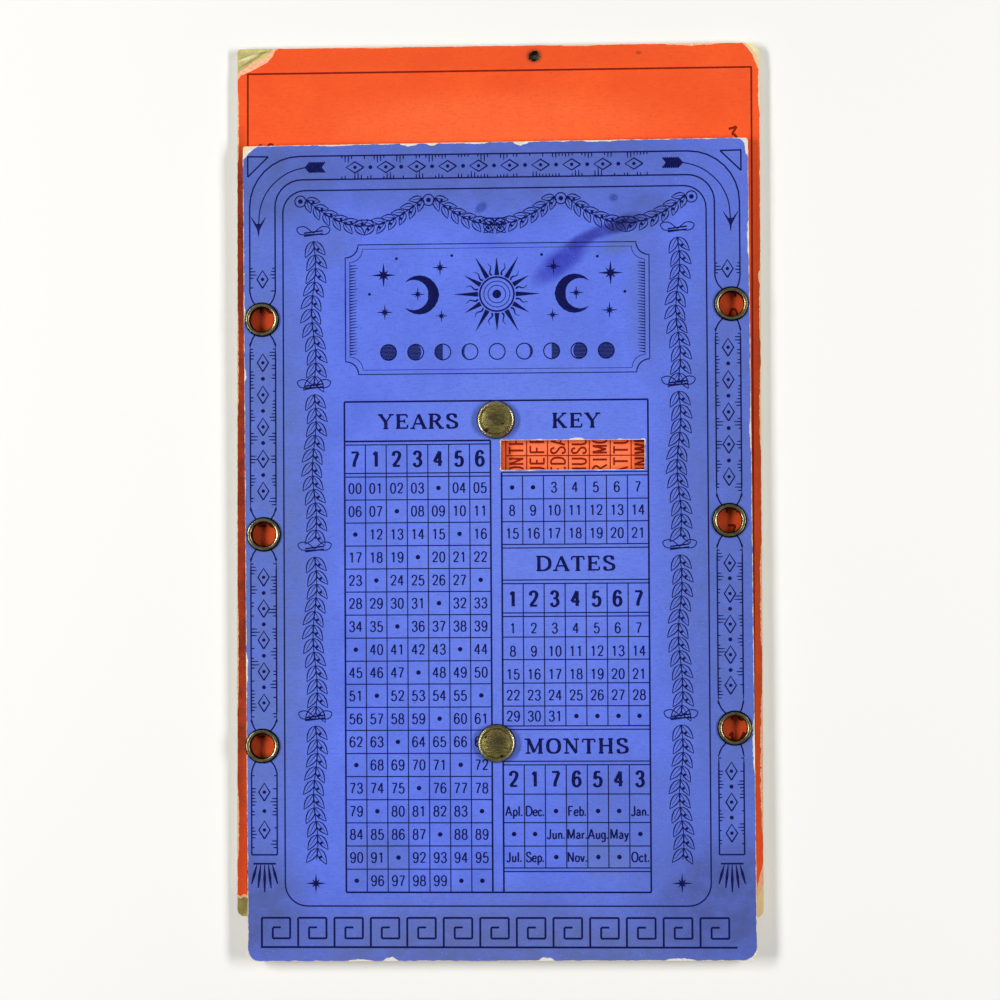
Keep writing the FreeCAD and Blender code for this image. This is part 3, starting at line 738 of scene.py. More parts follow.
weekday_names = []
for row, code in enumerate(CENTURY_CODES):
    for column in range(WEEK):
        name = WEEKDAYS[(column + 5 + code) % WEEK]
        squeeze = NAME_LENGTH / NAME_HEIGHT / sum(GLYPHS[letter][0] for letter in name)
        weekday_names += set_type(name, GRID_LEFT + (column + 0.5) * COLUMN_PITCH,
                                  grid_low + (row + 0.5) * ROW_PITCH, NAME_HEIGHT, stem=0.15, hair=0.13,
                                  turn=90, tracking=0.03, squeeze=squeeze)
print_ink("slide_card_printed_weekdays", weekday_names, *SLIDE_INK)

# Each eyelet shows one century number at a time. The old reckoning repeats every seven centuries
# and the new one every four, so the new one leaves some rows with only a dot.
OLD_RECKONING = {3: (0, 7, 14), 6: (4, 11, 18), 2: (1, 8, 15), 5: (5, 12, 19), 1: (2, 9, 16),
                 4: (6, 13, 20), 0: (3, 10, 17)}
NEW_RECKONING = {6: (16, 20, 24), 2: (18, 22, 26), 4: (17, 21, 25), 0: (19, 23, 27)}
CENTURY_HEIGHT = 3.1
CENTURY_SQUEEZE = 0.87
CENTURY_SHIFT = (0.4, 0.3)
FLAT_THREE = "Z"                  # the figure three of this fount has a flat top
centuries = []
for side, table in (("right", OLD_RECKONING), ("left", NEW_RECKONING)):
    for index, height in enumerate(HEIGHTS):
        eye_x, eye_y = eyelet_spots[side + "_" + height]
        label_x = eye_x - slide_x + CENTURY_SHIFT[0]
        for row, code in enumerate(CENTURY_CODES):
            label_y = eye_y - slide_y + (row - 0.5) * ROW_PITCH + CENTURY_SHIFT[1]
            if code in table:
                label = str(table[code][index]).replace("3", FLAT_THREE)
                centuries += set_type(label, label_x, label_y, CENTURY_HEIGHT, stem=0.13, hair=0.13,
                                      squeeze=CENTURY_SQUEEZE)
            else:
                centuries.append(dot(label_x, label_y, 0.35))
print_ink("slide_card_printed_centuries", centuries, *SLIDE_INK)

# Printing on the face card: the tables
# Four ruled tables: the years of a century, the key to the weekday, the days of the month
# and the months. The rules are brass, thin inside each table and heavier round it.
navy_ink = printing_ink("dark ink on blue paper", "#050a48", "#141f74")
PRINT_TURN = 0.19                 # degrees: the print lies a little askew
printed = on_face @ Matrix.Rotation(math.radians(PRINT_TURN), 4, "Z")
FACE_INK = (print_high, "face_card", "blue_printed_paper", navy_ink, printed)
YEARS_LEFT = -25.85
KEY_LEFT = 0.72
TABLE_TOP = 25.18
TABLE_BOTTOM = -57.5
HEADER_FOOT = 18.48
FIGURES_FOOT = 13.06
DOUBLE = 0.6                      # between the two lines of a double rule
YEAR_ROWS = 18
THIN_RULE = 0.19
HEAVY_RULE = 0.3
table_width = WEEK * COLUMN_PITCH
years_right = YEARS_LEFT + table_width
key_right = KEY_LEFT + table_width
year_row = (FIGURES_FOOT - DOUBLE - TABLE_BOTTOM) / YEAR_ROWS


def double_rule(left, right, level):
    """Two level lines close together."""
    return [rule(left, level, right, level, RULE), rule(left, level - DOUBLE, right, level - DOUBLE, RULE)]


def columns(left, high, low):
    """The upright lines between the columns of a table."""
    places = [left + column * COLUMN_PITCH for column in range(1, WEEK)]
    return [rule(place, high, place, low, THIN_RULE) for place in places]


table_rules = [rule(YEARS_LEFT, TABLE_TOP, key_right, TABLE_TOP, HEAVY_RULE),
               rule(YEARS_LEFT, TABLE_BOTTOM, key_right, TABLE_BOTTOM, HEAVY_RULE)]
for upright, high in ((YEARS_LEFT, TABLE_TOP), (years_right, HEADER_FOOT), (KEY_LEFT, FIGURES_FOOT),
                      (key_right, TABLE_TOP)):
    table_rules.append(rule(upright, high, upright, TABLE_BOTTOM, HEAVY_RULE))
table_rules.append(rule(YEARS_LEFT, HEADER_FOOT, years_right, HEADER_FOOT, HEAVY_RULE))
table_rules.append(rule(YEARS_LEFT, HEADER_FOOT - DOUBLE, years_right, HEADER_FOOT - DOUBLE))
table_rules += double_rule(YEARS_LEFT, years_right, FIGURES_FOOT)
table_rules += columns(YEARS_LEFT, HEADER_FOOT - DOUBLE, TABLE_BOTTOM)
for row in range(1, YEAR_ROWS):
    level = FIGURES_FOOT - DOUBLE - row * year_row
    table_rules.append(rule(YEARS_LEFT, level, years_right, level, THIN_RULE))

KEY_LINES = (8.55, 4.74)
DAY_LINES = (-14.69, -18.48, -22.43, -26.28)
MONTH_LINES = (-45.83, -49.75)
for level in (FIGURES_FOOT, 0.9, -5.1, -10.63, -29.62, -35.55, -53.42):
    table_rules += double_rule(KEY_LEFT, key_right, level)
for level in KEY_LINES + DAY_LINES + MONTH_LINES + (-41.05,):
    table_rules.append(rule(KEY_LEFT, level, key_right, level, THIN_RULE))
for high, low in ((FIGURES_FOOT - DOUBLE, 0.9), (-5.7, -29.62), (-36.15, -53.42)):
    table_rules += columns(KEY_LEFT, high, low)
print_ink("face_card_printed_rules", table_rules, *FACE_INK)

HEADING_HEIGHT = 2.35
FIGURE_HEIGHT = 1.7
MONTH_HEIGHT = 1.6
HEAVY_FIGURE_HEIGHT = 2.5
EMPTY_PLACE = 0.39                # radius of the dot in a place without a number
headings = []
for word, centre_x, centre_y in (("YEARS", -13.3, 21.8), ("KEY", 13.3, 21.75), ("DATES", 13.1, -2.33),
                                 ("MONTHS", 13.1, -33.0)):
    headings += set_type(word, centre_x, centre_y, HEADING_HEIGHT, stem=0.25, hair=0.12, roman=True,
                         tracking=0.16, squeeze=1.46)
print_ink("face_card_printed_headings", headings, *FACE_INK)


def in_column(left, column):
    """The middle of a column in the table that starts at left."""
    return left + (column + 0.5) * COLUMN_PITCH


def row_of_figures(left, level, entries):
    """One row of a table: numbers of one or two figures, months, and a dot in an empty place."""
    strokes = []
    for column, entry in enumerate(entries):
        across = in_column(left, column)
        if entry == "":
            strokes.append(dot(across, level, EMPTY_PLACE))
        elif entry[0].isdigit():
            strokes += set_type(entry, across, level, FIGURE_HEIGHT, stem=0.16, hair=0.12, tracking=0.05)
        else:
            strokes += set_type(entry, across, level, MONTH_HEIGHT, stem=0.18, hair=0.14, squeeze=1.04,
                                tracking=0.02)
    return strokes


# The years run on in sevens, and a dot stands before each leap year, where the weekday skips one
year_places = []
for year in range(100):
    if year and year % 4 == 0:
        year_places.append("")
    year_places.append(f"{year:02}")
year_places += [""] * (-len(year_places) % WEEK)
year_rows = [year_places[first:first + WEEK] for first in range(0, len(year_places), WEEK)]
figures = []
for row, entries in enumerate(year_rows):
    figures += row_of_figures(YEARS_LEFT, FIGURES_FOOT - DOUBLE - (row + 0.5) * year_row, entries)

days = [str(day) for day in range(1, 32)]
for level, entries in ((10.5, ["", ""] + days[2:7]), (6.63, days[7:14]), (2.76, days[14:21])):
    figures += row_of_figures(KEY_LEFT, level, entries)
for row, level in enumerate((-13.21, -17.07, -20.93, -24.46, -27.98)):
    figures += row_of_figures(KEY_LEFT, level, (days + [""] * 4)[WEEK * row:WEEK * row + WEEK])
for level, entries in ((-43.89, ("Apl.", "Dec.", "", "Feb.", "", "", "Jan.")),
                       (-47.74, ("", "", "Jun.", "Mar.", "Aug.", "May", "")),
                       (-51.59, ("Jul.", "Sep.", "", "Nov.", "", "", "Oct."))):
    figures += row_of_figures(KEY_LEFT, level, entries)
print_ink("face_card_printed_figures", figures, *FACE_INK)

heavy_figures = []
for left, level, entries in ((YEARS_LEFT, 15.45, "7123456"), (KEY_LEFT, -8.27, "1234567"),
                             (KEY_LEFT, -38.53, "2176543")):
    for column, figure in enumerate(entries):
        heavy_figures += set_type(figure, in_column(left, column), level, HEAVY_FIGURE_HEIGHT, stem=0.23,
                                  hair=0.15, squeeze=0.98)
print_ink("face_card_printed_heavy_figures", heavy_figures, *FACE_INK)

# Printing on the face card: the borders
# A ribbon runs round the card and is gathered in at each eyelet, with an arrow bent round each top
# corner. Inside it a ruled frame with round corners holds the tables.
FINE_LINE = 0.26


def round_cornered(left, low, right, high, radius):
    """A closed rectangle with round corners, starting and ending in the middle of its left side."""
    points = [Vector((left, (low + high) / 2))]
    points += arc(left + radius, high - radius, radius, 180, 90)
    points += arc(right - radius, high - radius, radius, 90, 0)
    points += arc(right - radius, low + radius, radius, 0, -90)
    points += arc(left + radius, low + radius, radius, -90, -180)
    return points + [points[0]]


border = [(round_cornered(-36.2, -59.8, 35.45, 61.15, 3.8), 0.25)]
BAND_TOP = (67.0, 63.0)           # the ribbon's outer and inner edges
BAND_LEFT = (-41.87, -37.54)
BAND_RIGHT = (41.06, 36.86)
BAND_CORNER = (8.6, 4.6)
BAND_DROP = 2.0                   # from a round corner's end to the start of the side
for level, left, right, reach in zip(BAND_TOP, BAND_LEFT, BAND_RIGHT, BAND_CORNER):
    shoulder = level - reach
    path = [Vector((left, shoulder - BAND_DROP))] + arc(left + reach, shoulder, reach, 180, 90)
    path += arc(right - reach, shoulder, reach, 90, 0) + [Vector((right, shoulder - BAND_DROP))]
    border.append((path, FINE_LINE))


def face_print_spot(spot):
    """Where an eyelet stands in the print's own axes."""
    x, y = eyelet_spots[spot]
    return Matrix.Rotation(math.radians(-PRINT_TURN), 2) @ Vector((x - face_x, y - face_y))


STRIP_FOOT = -51.2
NECK = 0.56                       # the ribbon's width at an eyelet, over its usual width


def gathered(edge, eye, way):
    """Points along a ribbon's edge where it is drawn in under an eyelet. Way is 1 above it and -1 below."""
    drawn_in = eye.x + (edge - eye.x) * NECK
    return [Vector((drawn_in, eye.y + way * 2.5)),
            Vector((drawn_in + (edge - drawn_in) * 0.62, eye.y + way * 3.4)),
            Vector((edge, eye.y + way * 4.7)), Vector((edge, eye.y + way * 6.0))]


for side, (outer, inner) in (("left", BAND_LEFT), ("right", BAND_RIGHT)):
    eyes = [face_print_spot(side + "_" + height) for height in HEIGHTS]
    for edge, level, reach in zip((outer, inner), BAND_TOP, BAND_CORNER):
        stops = [[Vector((edge, level - reach - BAND_DROP))]] + [gathered(edge, eye, -1) for eye in eyes]
        for index, start in enumerate(stops):
            stop = gathered(edge, eyes[index], 1)[::-1] if index < len(eyes) else [Vector((edge, STRIP_FOOT))]
            border.append((smooth_run(start + stop, 3), FINE_LINE))
    border.append(rule(outer, STRIP_FOOT, inner, STRIP_FOOT, FINE_LINE))
    toward = 1 if side == "left" else -1
    corner_x, far_x = outer - toward * 0.3, outer + toward * 3.2
    border += [rule(corner_x, 67.05, far_x, 67.0, FINE_LINE), rule(far_x, 67.0, corner_x, 63.6, FINE_LINE),
               rule(corner_x, 63.6, corner_x, 67.15, FINE_LINE)]
print_ink("face_card_printed_borders", border, *FACE_INK)

ornaments = []
LOZENGE_PITCH = 5.2
TICK_PITCH = 0.55


def lozenge(x, y, half_long, half_wide, turn, width):
    """A diamond in outline with a dot in it."""
    along = Vector((math.cos(math.radians(turn)), math.sin(math.radians(turn))))
    across = Vector((-along.y, along.x))
    middle = Vector((x, y))
    corners = [middle + along * half_long, middle + across * half_wide, middle - along * half_long,
               middle - across * half_wide]
    return [(corners + corners[:1], width), dot(x, y, 0.3)]


def ribbon_ticks(first, last, half_width, seed):
    """The short shading strokes inside both edges of a ribbon, in loose groups."""
    along = (last - first).normalized()
    across = Vector((-along.y, along.x))
    strokes = []
    for step in range(int((last - first).length / TICK_PITCH)):
        spot = first + along * (0.4 + TICK_PITCH * step)
        for side in (-1, 1):
            weight = noise.noise(Vector((step * 0.31, side * 7.0, seed)))
            if weight > -0.02:
                edge = spot + across * side * half_width
                strokes.append(swelling([edge, edge - across * side * (0.45 + 1.5 * weight)], 0.24, 0.14))
    return strokes


def ribbon_pattern(first, last, half_width, seed):
    """Lozenges and dots down the middle of a stretch of ribbon."""
    along = last - first
    turn = math.degrees(math.atan2(along.y, along.x))
    count = max(1, round(along.length / LOZENGE_PITCH))
    strokes = ribbon_ticks(first, last, half_width, seed)
    for step in range(count):
        spot = first + along * ((step + 0.5) / count)
        strokes += lozenge(spot.x, spot.y, 1.5, 0.95, turn, 0.26)
        if step < count - 1:
            spot = first + along * ((step + 1) / count)
            strokes.append(dot(spot.x, spot.y, 0.34))
    return strokes


top_middle = (BAND_TOP[0] + BAND_TOP[1]) / 2
ornaments += ribbon_pattern(Vector((-26.5, top_middle)), Vector((26.0, top_middle)), 1.95, 1.0)
for side, (outer, inner) in (("left", BAND_LEFT), ("right", BAND_RIGHT)):
    middle_x = (outer + inner) / 2
    eyes = [face_print_spot(side + "_" + height).y for height in HEIGHTS]
    for index, (high, low) in enumerate(zip([53.0] + eyes, eyes + [STRIP_FOOT - 3.6])):
        ornaments += ribbon_pattern(Vector((middle_x, high - 4.6)), Vector((middle_x, low + 4.6)), 2.1,
                                    2.0 + index)
    toward = 1 if side == "left" else -1
    for fold in range(5):
        spread = (fold - 2) * 0.55
        top = Vector((middle_x + spread * 1.2, STRIP_FOOT - 1.7))
        foot = Vector((middle_x + spread * 2.0, STRIP_FOOT - 6.3 + abs(fold - 2) * 0.7))
        ornaments.append(swelling([top, (top + foot) / 2, foot], 0.14, 0.5, 0.2))
    ornaments.append(rule(middle_x - 1.9, STRIP_FOOT - 1.5, middle_x + 1.9, STRIP_FOOT - 1.5, 0.3))

    # The arrow: its flight, its bent shaft and its barbed head
    bend_x = outer + toward * 9.4
    shaft = [Vector((bend_x + toward * 3.0, 65.1)), Vector((bend_x, 65.05)),
             Vector((outer + toward * 6.2, 64.0)), Vector((outer + toward * 3.4, 61.6)),
             Vector((outer + toward * 1.9, 58.6)), Vector((outer + toward * 1.5, 55.2))]
    ornaments.append((smooth_run(shaft), 0.2))
    for feather in range(8):
        root = Vector((bend_x + toward * (0.2 + feather * 0.36), 65.08))
        for up in (-1, 1):
            ornaments.append(swelling([root, root + Vector((toward * 0.75, up * 0.9))], 0.36, 0.26))
    head = Vector((outer + toward * 1.5, 54.4))
    ornaments.append(swelling([head + Vector((0, 1.2)), head + Vector((0, 0.8)), head - Vector((0, 1.0))],
                              0.7, 0.6, 0.08))
    for up in (-1, 1):
        ornaments.append(swelling([head + Vector((up * 1.25, 2.3)), head + Vector((up * 0.5, 1.1)), head],
                                  0.1, 0.35, 0.2))
print_ink("face_card_printed_ribbon_ornament", ornaments, *FACE_INK)

# Printing on the face card: the panel and garlands
# Over the tables a ruled panel holds the sun, two crescent moons, stars and the moon's phases.
# Laurel hangs down both sides and swags across the top, and a key fret runs along the foot.
PANEL = (-25.6, 29.8, 25.8, 51.8)         # left, low, right, high


def leaf(x, y, turn, length, breadth):
    """A leaf in outline, with its midrib."""
    along = Vector((math.cos(math.radians(turn)), math.sin(math.radians(turn))))
    across = Vector((-along.y, along.x))
    stalk = Vector((x, y))
    strokes = []
    for side in (-1, 1):
        edge = [stalk + along * length * t + across * side * breadth * math.sin(math.pi * t ** 0.8) / 2
                for t in (0.0, 0.15, 0.35, 0.6, 0.82, 1.0)]
        strokes.append(swelling(edge, 0.1, 0.24, 0.12))
    strokes.append(swelling([stalk, stalk + along * length * 0.75], 0.16, 0.08))
    return strokes


def garland(path, pitch, length, breadth, spread):
    """Leaves in pairs along a stem, pointing the way it runs, with a berry between each two pairs."""
    strokes = [(path, 0.16)]
    gone = 0.0
    for first, last in zip(path, path[1:]):
        along = last - first
        heading = math.degrees(math.atan2(along.y, along.x))
        while gone < along.length:
            spot = first + along.normalized() * gone
            for side in (-1, 1):
                strokes += leaf(spot.x, spot.y, heading + side * spread, length, breadth)
            across = Vector((-along.y, along.x)).normalized()
            berry = spot + along.normalized() * pitch * 0.62 + across * length * 0.2
            strokes.append(dot(berry.x, berry.y, 0.24))
            gone += pitch
        gone -= along.length
    return strokes


def star(x, y, size):
    """An eight-pointed star of crossed tapering strokes."""
    strokes = []
    for point in range(4):
        turn = math.radians(45 * point)
        reach = size * (1.0 if point % 2 == 0 else 0.55)
        tip = Vector((math.cos(turn), math.sin(turn))) * reach
        strokes.append(swelling([Vector((x, y)) - tip, Vector((x, y)), Vector((x, y)) + tip],
                                0.06, size * 0.3, 0.06))
    return strokes


def moon_phase(x, y, radius, phase):
    """The moon's disc with its dark part hatched. The phase runs from 0, new, through 0.5, full, to 1."""
    strokes = [(oval(x, y, radius, radius, squareness=1.0), 0.2)]
    for step in range(-5, 6):
        height = step / 6
        limb = math.sqrt(1 - height ** 2)
        edge = limb * math.cos(2 * math.pi * phase)
        left, right = (-limb, edge) if phase < 0.5 else (-edge, limb)
        if right - left > 0.15:
            level = y + height * radius
            strokes.append(rule(x + left * radius, level, x + right * radius, level, 0.2))
    return strokes


art = []
panel_left, panel_low, panel_right, panel_high = PANEL
NOTCH = 2.2
for inset, width in ((0.0, 0.22), (0.75, 0.12)):
    left, right = panel_left + inset, panel_right - inset
    low, high = panel_low + inset, panel_high - inset
    outline = [Vector((left, (low + high) / 2))] + arc(left, high, NOTCH, -90, 0, 6)
    outline += arc(right, high, NOTCH, 180, 270, 6) + arc(right, low, NOTCH, 90, 180, 6)
    outline += arc(left, low, NOTCH, 0, 90, 6)
    art.append((outline + outline[:1], width))
sun = Vector((0.1, 43.2))
for radius, width in ((2.9, 0.3), (2.2, 0.14), (1.5, 0.14)):
    art.append((oval(sun.x, sun.y, radius, radius, 24, 1.0), width))
art.append(dot(sun.x, sun.y, 0.75))
for ray in range(24):
    turn = math.radians(15 * ray)
    out = Vector((math.cos(turn), math.sin(turn)))
    across = Vector((-out.y, out.x))
    if ray % 2 == 0:
        art.append(swelling([sun + out * 3.2, sun + out * (7.2 if ray % 4 == 0 else 6.2)], 0.85, 0.06))
    else:
        wave = [sun + out * (3.3 + 0.35 * k) + across * 0.22 * math.sin(1.2 * k) for k in range(7)]
        art.append(swelling(wave, 0.34, 0.08))
PANEL_STARS = ((9.6, 4.6, 1.3), (9.4, -3.6, 1.0), (13.4, 0.1, 1.15), (19.2, 3.4, 2.0), (19.0, -2.9, 1.3))
PANEL_DOTS = ((17.0, 6.2), (21.6, 0.2), (7.6, 6.6))
for side in (-1, 1):
    crescent = arc(sun.x + side * 13.6, sun.y, 2.9, 90 - side * 40, 90 + side * 220, 16)
    art.append(swelling(crescent, 0.08, 1.2, 1.9, 1.2, 0.08))
    for away, above, size in PANEL_STARS:
        art += star(sun.x + side * away, sun.y + above, size)
    for away, above in PANEL_DOTS:
        art.append(dot(sun.x + side * away, sun.y + above, 0.25))
    for step in range(31):
        shade_y = panel_low + 3.4 + step * 0.5
        edge = (panel_left if side < 0 else panel_right) - side * 0.8
        reach = 1.1 + 0.5 * noise.noise(Vector((step * 0.7, side, 3.0)))
        art.append(swelling([Vector((edge, shade_y)), Vector((edge - side * reach, shade_y + 0.15))],
                            0.24, 0.08))
MOON_PITCH = 4.6
MOON_LEVEL = 33.5
MOON_RADIUS = 1.35
for step in range(9):
    art += moon_phase(sun.x + (step - 4) * MOON_PITCH, MOON_LEVEL, MOON_RADIUS, step / 8)
print_ink("face_card_printed_panel", art, *FACE_INK)

greenery = []
for centre_x in (-31.0, 30.6):
    for high, low in ((52.5, 29.5), (26.5, 2.0), (-1.0, -26.5), (-29.5, -52.0)):
        path = [Vector((centre_x + 0.35 * math.sin(step * 0.9), high + (low - high) * step / 10))
                for step in range(11)]
        greenery += garland(path, 2.3, 3.1, 1.25, 34)
        greenery += [rule(centre_x - 1.6, high + 0.9, centre_x + 1.6, high + 1.3, 0.26),
                     rule(centre_x - 1.6, high + 1.4, centre_x + 1.6, high + 1.8, 0.26)]
        for side in (-1, 1):
            loop = [Vector((centre_x, high + 1.4)), Vector((centre_x + side * 1.5, high + 2.5)),
                    Vector((centre_x + side * 2.8, high + 2.2)), Vector((centre_x + side * 2.2, high + 1.2)),
                    Vector((centre_x, high + 1.2))]
            greenery.append((smooth_run(loop), 0.18))
    greenery += star(centre_x, -56.0, 1.6)
SWAG_ENDS = (-33.2, -11.4, 11.0, 33.0)
SWAG_TOP = 59.6
SWAG_DEPTH = 4.6
for start, stop in zip(SWAG_ENDS, SWAG_ENDS[1:]):
    middle, half = (start + stop) / 2, (stop - start) / 2 - 1.0
    for side in (-1, 1):
        path = []
        for step in range(7):
            out = 1 - step / 6
            path.append(Vector((middle + side * half * out, SWAG_TOP - SWAG_DEPTH * (1 - out ** 2))))
        greenery += garland(path, 1.9, 2.4, 1.1, 32)
for knot in SWAG_ENDS:
    greenery.append((oval(knot, SWAG_TOP - 0.3, 0.95, 0.95, squareness=1.0), 0.2))
    greenery.append(dot(knot, SWAG_TOP - 0.3, 0.4))
print_ink("face_card_printed_garlands", greenery, *FACE_INK)

FRET_LOW = -66.7
FRET_CELL = 1.23
FRET_LINE = 0.34
FRET_REPEATS = 13
FRET_LEFT = -40.2
FRET_LENGTH = 5                   # cells in one repeat
FRET_TURNS = ((0, 0), (0, 4), (3.9, 4), (3.9, 1.2), (1.5, 1.2), (1.5, 2.7), (2.6, 2.7))
fret = []
for repeat in range(FRET_REPEATS):
    left = FRET_LENGTH * repeat
    fret += [rule(FRET_LEFT + FRET_CELL * (left + x1), FRET_LOW + FRET_CELL * y1,
                  FRET_LEFT + FRET_CELL * (left + x2), FRET_LOW + FRET_CELL * y2, FRET_LINE)
             for (x1, y1), (x2, y2) in zip(FRET_TURNS, FRET_TURNS[1:])]
fret.append(rule(FRET_LEFT - 0.2, FRET_LOW, FRET_LEFT + FRET_CELL * FRET_LENGTH * FRET_REPEATS, FRET_LOW,
                 FRET_LINE))
print_ink("face_card_printed_fret", fret, *FACE_INK)

# Eyelets
# Six brass eyelets. Each flange is rolled onto the printed face, and the tube's other end is rolled
# out behind the card. They are worn bright along the crest of the roll; below it the colour is painted shade,
# near black, and dark brown down the bore.
def turned(profile, spot, steps=72):
    """A ring or a dome: a closed profile of radius and height, spun about an upright line."""
    shape = bmesh.new()
    ring = [shape.verts.new((spot[0] + radius, spot[1], level)) for radius, level in profile]
    edges = [shape.edges.new(pair) for pair in zip(ring, ring[1:] + ring[:1])]
    bmesh.ops.spin(shape, geom=ring + edges, cent=(spot[0], spot[1], 0), axis=(0, 0, 1), angle=2 * math.pi,
                   steps=steps, use_merge=True)
    bmesh.ops.remove_doubles(shape, verts=shape.verts, dist=0.0005)
    bmesh.ops.recalc_face_normals(shape, faces=shape.faces)
    turned_radius = shape.verts.layers.float.new("turned_radius")
    for corner in shape.verts:
        corner[turned_radius] = math.hypot(corner.co.x - spot[0], corner.co.y - spot[1])
    return shape


def bow(start, crest, stop, steps):
    """Points along a rounded roll from one foot over its crest to the other foot, without the last."""
    points = []
    for step in range(steps):
        turn = math.pi * step / steps
        across = (1 - math.cos(turn)) / 2
        points.append((start[0] + (stop[0] - start[0]) * across,
                       start[1] + (stop[1] - start[1]) * across
                       + (crest - (start[1] + stop[1]) / 2) * math.sin(turn) ** 0.8))
    return points


def ring_band(tree, coords, inner, outer, soft=0.1, ragged=0.06):
    """1 within a ring of a turned piece and 0 outside it, with ragged edges. Sizes are in millimetres."""
    radius = add_node(tree, "Attribute", attribute_name="turned_radius").outputs["Fac"]
    wander = ranged(tree, surface_noise(tree, coords, 0.8, 3.0), 0.3, 0.7, -ragged, ragged)
    uneven = add_node(tree, "Math", {0: radius, 1: wander}, operation="ADD").outputs[0]
    return product(tree, ranged(tree, uneven, inner - soft, inner), ranged(tree, uneven, outer + soft, outer))


def scratches(tree, coords):
    """Fine scuffs that run mostly one way, as height."""
    across = add_node(tree, "Mapping", {"Vector": coords, "Rotation": (0, 0, 0.6), "Scale": (1.0, 7.0, 1.0)})
    return surface_noise(tree, across.outputs[0], 1.2, 4.0, 0.75)


EYELET_BORE = 2.03
EYELET_WALL = 0.2
EYELET_FLANGE = 2.95
EYELET_RISE = 0.45
EYELET_BACK = 2.7
EYELET_BACK_RISE = 0.35
eyelet_brass, tree, shader, coords = new_material("brass eyelet, painted shade below its crest", 0.3, 1.0, 0.5)
polish = ring_band(tree, coords, EYELET_BORE + 0.24, EYELET_BORE + 0.6, 0.08, 0.05)
tarnish = surface_noise(tree, coords, 1.1, 4.0)
crest_colour = blended(tree, ranged(tree, tarnish, 0.35, 0.65), linear("#b5ae88"), linear("#8a8260"))
# Painted shade: near black on the outer slope of the roll, and dark brown down the bore where light hardly
# reaches.
inner_wall = ring_band(tree, coords, 0.0, EYELET_BORE + EYELET_WALL, 0.08, 0.0)
below = blended(tree, inner_wall, linear("#14151f"), linear("#2b1a0c"))
tree.links.new(blended(tree, polish, below, crest_colour), shader.inputs["Base Color"])
tree.links.new(ranged(tree, polish, 0.0, 1.0, 0.55, 0.3), shader.inputs["Roughness"])
bump(tree, shader, surface_noise(tree, coords, 0.9, 3.0), 0.3, 0.08)

for spot, centre in eyelet_spots.items():
    tube_radius = EYELET_BORE + EYELET_WALL
    profile = [(EYELET_BORE, liner_low)]
    profile += bow((EYELET_BORE, print_high), print_high + EYELET_RISE, (EYELET_FLANGE, print_high), 12)
    profile += [(EYELET_FLANGE, print_high), (EYELET_FLANGE - EYELET_WALL, print_high)]
    profile += [(tube_radius, print_high), (tube_radius, liner_low), (EYELET_BACK - EYELET_WALL, liner_low)]
    profile += bow((EYELET_BACK, liner_low), liner_low - EYELET_BACK_RISE, (EYELET_BORE, liner_low), 10)
    finish_piece("rolled_eyelet_" + spot, turned(profile, centre), "face_card", "eyelet_" + spot,
                 eyelet_brass, smooth=True)

# Fasteners
# Two paper fasteners, each a stamped brass cap on a folded strip. The caps are dull and olive, with a painted
# dark reflection in the middle of the crown, painted near-black shade in the dents of the crown and under the
# edge, and a rim rubbed bright that also carries a painted highlight.
CAP_RADIUS = 3.25
CAP_SHOULDER = 2.45
CAP_SHOULDER_DROP = 0.2
CAP_EDGE = 0.3
CAP_LIP = 1.95
CAP_METAL = 0.22


